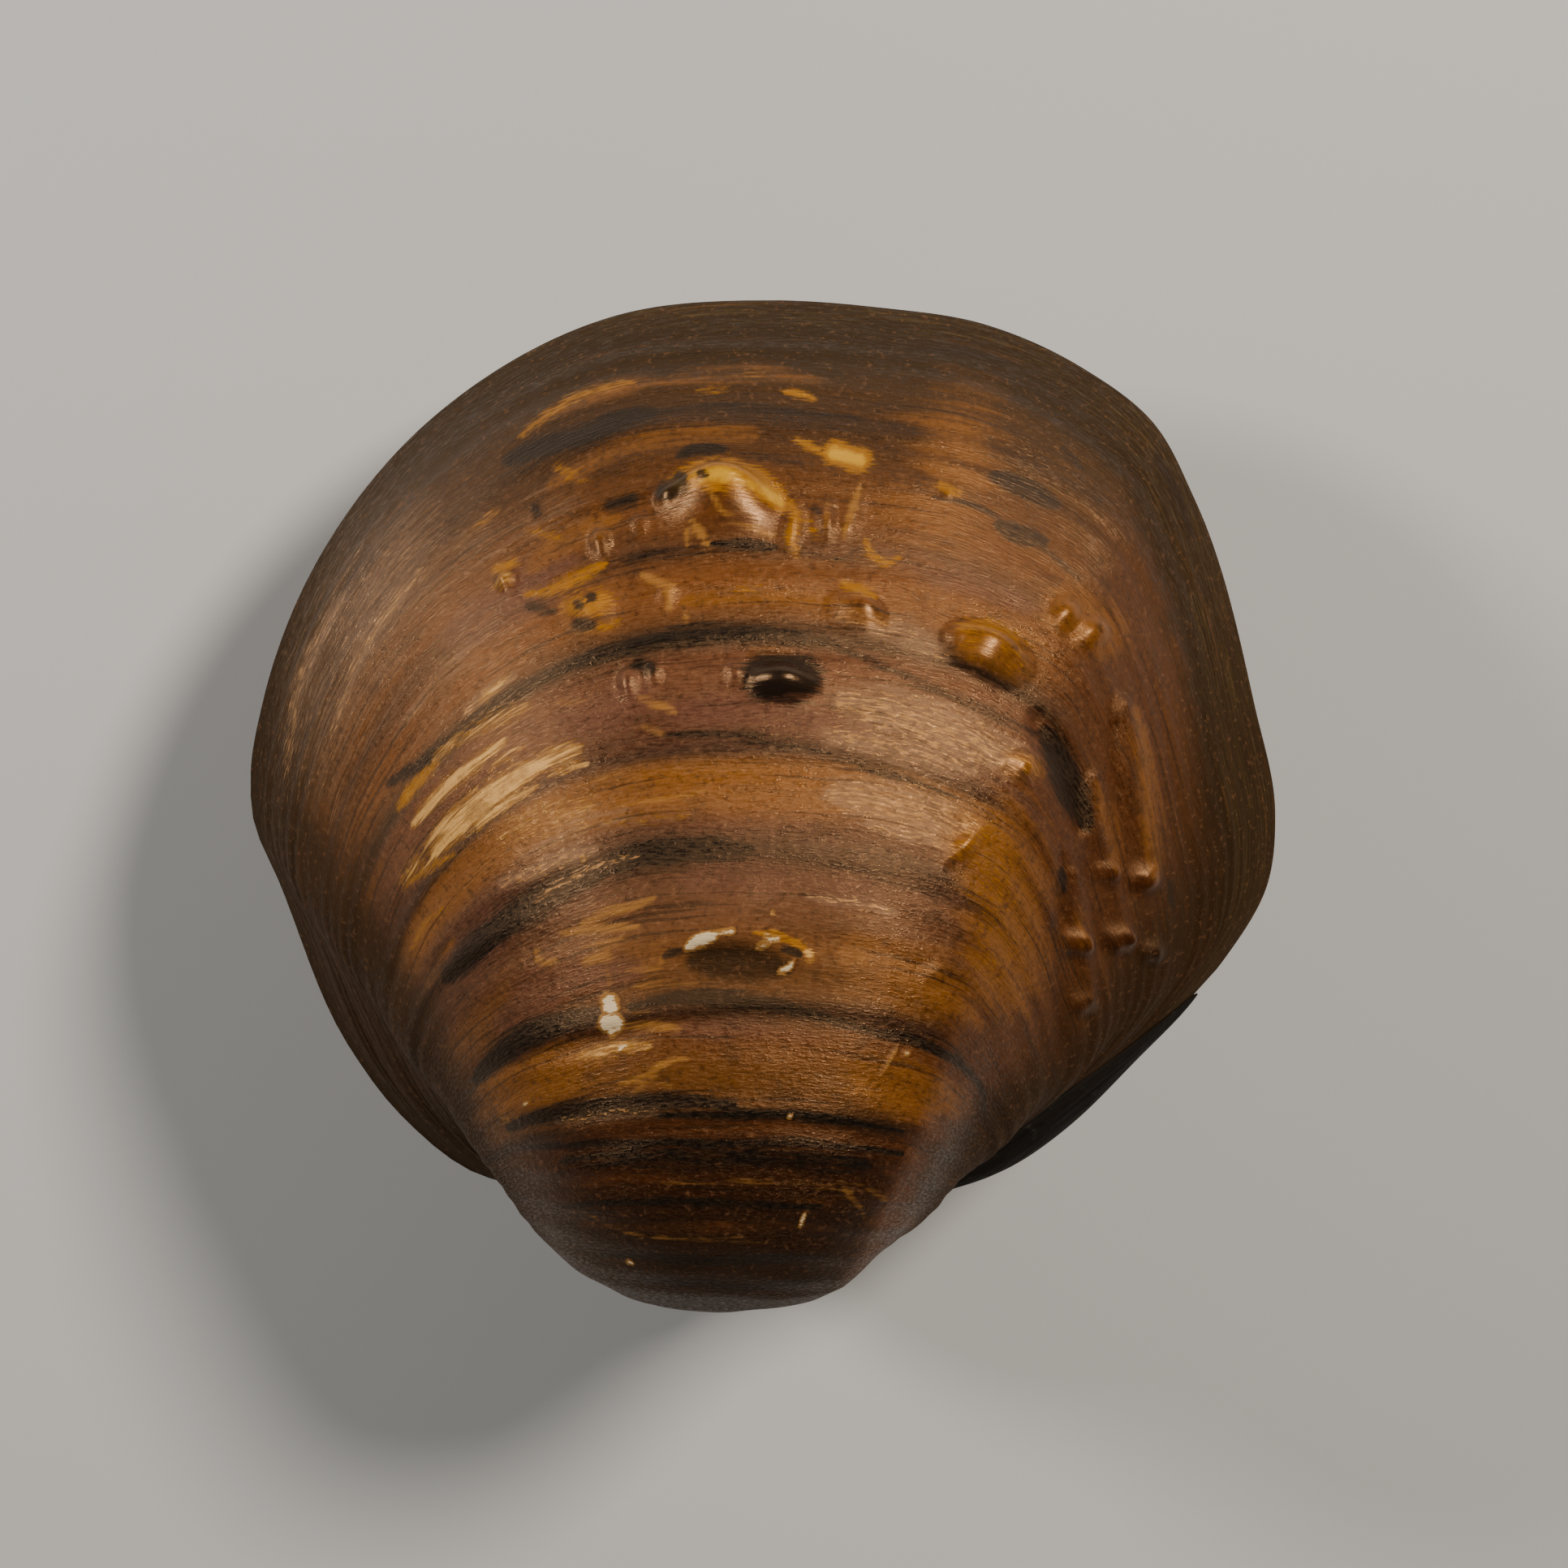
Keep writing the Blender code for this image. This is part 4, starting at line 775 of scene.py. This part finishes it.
# The left valve, below: it shares the right one's growth, not its knobs and worn places
leftValveLook = {
    **rightValveLook,
    "seed": 37,
    "columnBands": [(0, 0.16, 30), (0.16, 0.72, 240), (0.72, 1, 30)],
    "rowCounts": (12, 0.24, 150), "hollowRows": (10, 0.8),
    "restHeight": 0.24,
    "knobs": [
        (2, 46, 4.2, 1.6, 3.2, 1.6, 1.3, 4), (-9.5, 40, 3.2, 1.4, 2.2, 0.8, 1.1, 12),
        (9.5, 36.5, 2.8, 1.4, 2, 0.5, 1, -18), (-14, 47.5, 2.2, 1.2, 1.6, 0.3, 0.7, 20),
        (8, 52.5, 2.2, 1.2, 1.6, 0.3, 0.7, -12), (16.5, 43, 2, 1.4, 2, 0.2, 0.8, -25),
        (21.5, 32, 1.4, 1.3, 1.6, 0, 0.6, -30), (-12.5, 31.5, 2, 1.1, 1.6, 0.3, 0.6, 20),
        (23.5, 24, 1.1, 1.1, 1.1, 0, 0.6, 0), (22, 18, 1, 1, 1, 0, 0.5, 0)],
    "ridges": [
        (2, 0.5, (24, 36), (25, 31), (25.6, 26)), (1.7, 0.4, (22.2, 30), (22.8, 25.5), (23.6, 20.5))],
    "furrows": [
        (1.8, 0.6, (19.4, 34), (20.8, 30), (21.6, 26)),
        (1.2, 0.3, (23.6, 32.5), (24.1, 28), (24.6, 23.5))],
    "dirtFade": 0.08,
    "charcoal": [
        (2, 1, (-20, 17), (-13, 22), (-5, 24.5), (5, 24)),
        (1.2, 0.9, (-17, 10), (-8, 13.5), (3, 13.8), (12, 11)),
        (0.8, 0.9, (-16, 5.8), (-5, 7.2), (8, 5.8)),
        (1, 0.8, (-22, 33), (-12, 38.5), (0, 40), (10, 37)),
        (1.2, 0.8, (-12, 54), (0, 56), (10, 54.5))],
    "umber": rightValveLook["umber"][:2],
    "amber": [
        (4, 0.8, (10, 20), (16, 23)), (2.4, 0.8, (-12, 28.5), (0, 31), (8, 29)),
        (3, 0.7, (-8, 43), (6, 43)), (4, 0.6, (8, 50), (14, 47)), (3.4, 0.8, (-14, 8.5), (-9, 10))],
    "mauve": [(3.4, 0.6, (-16, 14), (-8, 17)), (3, 0.6, (-6, 34), (6, 33.5))],
    "russet": [(3, 0.5, (-3, 44), (5, 44))], "matte": [],
    "scratch": [
        (0.7, 0.8, (-12, 19), (-7, 20.4)), (0.7, 0.7, (4, 33.5), (9, 32.5)),
        (0.7, 0.7, (-4, 47), (-2.5, 43)), (0.7, 0.7, (12, 47), (10.5, 43.5))],
    "sheenAndFilm": [(8, 0.8, (-30, 31), (-28, 38), (-24, 45)), (5, 0.6, (14, 52), (22, 44))],
    "cream": [
        (1.6, 1, (-19, 27.5), (-15.5, 30.5), (-12, 32)), (2, 0.8, (-6, 20.5), (-1, 21.5), (5, 20.8))],
    "ochre": [
        (0.9, 1.1, (-1.5, 45.6), (1, 46.6), (4.5, 46)), (0.8, 1, (-11.5, 40.2), (-8, 40.8)),
        (0.6, 0.9, (8, 37.2), (11, 36.6)), (0.5, 0.8, (-7, 49.5), (-2, 50.5)),
        (0.4, 0.8, (3, 27.5), (6.5, 29.8)), (0.4, 0.8, (-4, 10), (1, 11.5))],
    "chip": [
        (1.3, 1, (0.5, 21), (2, 21.3)), (0.6, 0.9, (-4.5, 20.6), (-3.5, 20.9)),
        (0.6, 0.9, (-9, 41), (-8.4, 41))]}

markNames = [
    "olive", "umber", "russet", "amber", "mauve", "sheenAndFilm", "ochre", "scratch", "charcoal", "cream",
    "chip", "matte", "polish"]


def makeValve(name, look, side, skin, lining):
    places = spacedPlaces(look["columnBands"])
    stages = spacedStages(*look["rowCounts"])
    outer, seen, facing, raised = outerSurface(places[None, :], stages[:, None], look)
    outer[0] = outer[0, :-1].mean(axis=0)
    hollowRows, closer = look["hollowRows"]
    shares = np.linspace(1, 0, hollowRows + 1) ** closer
    inner = innerSurface(places[None, :], shares[:, None])
    rows = np.vstack([outer, inner]) * np.array([1.0, 1.0, side])
    placeGrid, stageGrid = np.meshgrid(places, np.concatenate([stages, 2.0 - shares]))
    hollow = np.zeros(inner.shape[:2])
    fields = {mark: np.vstack([strokeField(seen, look[mark]) * facing, hollow])
              for mark in markNames if mark in look}
    polish = np.clip(raised / look["polishedFrom"], 0, 1) * (1 - fields["matte"][:len(stages)])
    fields["polish"] = np.vstack([polish.clip(0), hollow])
    start = np.interp(placeGrid, *np.array(look["marginDirt"]).T)
    fields["olive"] = np.clip((stageGrid - start) / look["dirtFade"], 0, 1)
    for mark, axis, start, full, strength in look["shades"]:
        along = stageGrid if axis else placeGrid
        shade = strength * np.clip((along - start) / (full - start), 0, 1)
        fields[mark] = np.maximum(fields[mark], shade)
    piece = gridMesh(name, lieDown(rows), np.stack([placeGrid, stageGrid], axis=-1), fields)
    mesh = piece.data
    mesh.materials.append(skin)
    mesh.materials.append(lining)
    corners = np.empty(len(mesh.loops) * 2)
    mesh.uv_layers["growth"].data.foreach_get("uv", corners)
    firstCorners = np.empty(len(mesh.polygons), int)
    mesh.polygons.foreach_get("loop_start", firstCorners)
    cornerStages = corners[1::2]  # they pass 1 at the margin and go on in the hollow
    inHollow = cornerStages[firstCorners] + cornerStages[firstCorners + 2] > 2 + 1e-4
    mesh.polygons.foreach_set("material_index", inHollow.astype(int))
    return piece


def makeLigament(look, skin):
    alongCount, sideCount = look["counts"]
    places = np.linspace(*look["ends"], alongCount + 1)
    share = np.linspace(*look["share"], alongCount + 1)
    thickest, bluntness = look["taper"]
    body = np.sin(np.pi * share ** thickest) ** bluntness
    steps = np.linspace(0, 1, sideCount + 1)
    stages = 1.0 - look["reach"] * body[:, None] * steps[None, :]
    placeGrid = np.repeat(places[:, None], sideCount + 1, axis=1)
    surface = shellSurface(placeGrid, stages)
    outward = outwardNormals(placeGrid, stages)
    outward[:, 0, 2] = 0.0
    outward /= np.linalg.norm(outward, axis=-1, keepdims=True)
    roundness, edgeLeft = look["edge"]
    section = np.sqrt(np.clip(1 - steps ** roundness, edgeLeft, 1))
    thick = look["thickness"] * body[:, None] * section[None, :]
    fibre = waves(share[:, None], steps[None, :], *look["fibreWaves"])
    thick = thick * (look["fullness"] - look["fibre"] * np.abs(fibre))
    over = surface + outward * (look["gap"] + thick)[..., None]
    under = surface + outward * look["gap"]
    otherSide = np.array([1.0, 1.0, -1.0])
    ring = np.concatenate([over, under[:, ::-1], under[:, 1:] * otherSide,
                           over[:, :0:-1] * otherSide, over[:, :1]], axis=1)
    across = np.linspace(0, 1, ring.shape[1])
    uvs = np.stack(np.meshgrid(across, share)[::-1], axis=-1)
    piece = gridMesh("hingeLigament", lieDown(ring), uvs, {})
    piece.data.materials.append(skin)
    return piece


# Soft studio light: a broad lamp beyond the right of the free edge, a weaker one on the left
studioLook = {
    "floorColours": [(0.3, "#ccced0"), (0.7, "#d0d2d4")],
    "floorClouds": (6.0, 2.0),  # repeats in a metre, detail
    "floorRoughness": 0.8,
    "floorSize": 3.0,
    "lamps": [  # direction in the shell's frame, distance, size, watts, colour
        ("rightLamp", (0.43, 0.31, 0.84), 0.55, 0.12, 3.05, (1.0, 0.9, 0.77)),
        ("leftLamp", (-0.75, 0.3, 0.6), 0.55, 0.12, 1.65, (1.0, 0.94, 0.86))],
    "lampUp": (0.3, 0.2, 1.0),
    "worldColour": "#e6e8ea",
    "worldStrength": 0.045,
    "sensorWidth": 36.0,
    "nearestSeen": 0.01,  # metres from the camera
    "fieldWidth": 107.15}  # mm across the picture, on the plane between the valves


def makeFloor(look):
    bm = bmesh.new()
    bmesh.ops.create_grid(bm, x_segments=4, y_segments=4, size=look["floorSize"] / 2)
    mesh = bpy.data.meshes.new("floor")
    bm.to_mesh(mesh)
    bm.free()
    material, tree = newMaterial("paleFloor")
    body = addNode(tree, "TexCoord").outputs["Object"]
    rate, detail = look["floorClouds"]
    cloud = addNode(tree, "TexNoise", {"Vector": body, "Scale": rate, "Detail": detail})
    tint = addNode(tree, "ValToRGB", {0: cloud}, stops=look["floorColours"])
    shader = addNode(tree, "BsdfPrincipled", {
        "Base Color": tint, "Roughness": look["floorRoughness"]})
    addNode(tree, "OutputMaterial", {"Surface": shader})
    mesh.materials.append(material)
    floor = newObject("floor", mesh)


def aimedMatrix(place, target, up):
    back = (Vector(place) - Vector(target)).normalized()
    right = Vector(up).cross(back).normalized()
    turn = Matrix((right, back.cross(right), back)).transposed()
    return Matrix.Translation(place) @ turn.to_4x4()


def makeStudio(look):
    centre = Vector(lieDown(np.array([*growthForm["viewCentre"], 0.0])))
    axes = lyingTurn()
    camera = bpy.data.cameras.new("camera")
    camera.sensor_width = look["sensorWidth"]
    camera.lens = camera.sensor_width * growthForm["viewHeight"] / look["fieldWidth"]
    camera.clip_start = look["nearestSeen"]
    eye = newObject("camera", camera)
    place = centre + axes.col[2] * growthForm["viewHeight"] * mm
    eye.matrix_world = aimedMatrix(place, centre, axes.col[1])
    bpy.context.scene.camera = eye
    for name, direction, distance, size, watts, colour in look["lamps"]:
        light = bpy.data.lights.new(name, "AREA")
        light.shape = "DISK"
        light.size = size
        light.energy = watts
        light.color = colour
        lamp = newObject(name, light)
        place = centre + (axes @ Vector(direction)).normalized() * distance
        lamp.matrix_world = aimedMatrix(place, centre, look["lampUp"])
    world = bpy.data.worlds.new("softRoom")
    bpy.context.scene.world = world
    world.use_nodes = True
    background = world.node_tree.nodes["Background"]
    background.inputs[0].default_value = linearColour(look["worldColour"])
    background.inputs[1].default_value = look["worldStrength"]


nacre = makeNacre(nacreLook)
print("materials: nacre")
rightSkin = makePeriostracum("periostracum", periostracumLook)
rightValve = makeValve("rightValve", rightValveLook, 1.0, rightSkin, nacre)
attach(rightValve, "root")
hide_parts("right_valve")
print("right valve:", len(rightValve.data.polygons), "faces")

leftSkin = makePeriostracum("periostracumUnderside", periostracumLook)
leftValve = makeValve("leftValve", leftValveLook, -1.0, leftSkin, nacre)
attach(leftValve, "root")
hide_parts("left_valve")
print("left valve:", len(leftValve.data.polygons), "faces")

ligament = makeLigament(ligamentLook, makeLigamentSkin(ligamentLook))
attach(ligament, "root")
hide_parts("ligament")
print("ligament:", len(ligament.data.polygons), "faces")

makeFloor(studioLook)
makeStudio(studioLook)
print("studio")
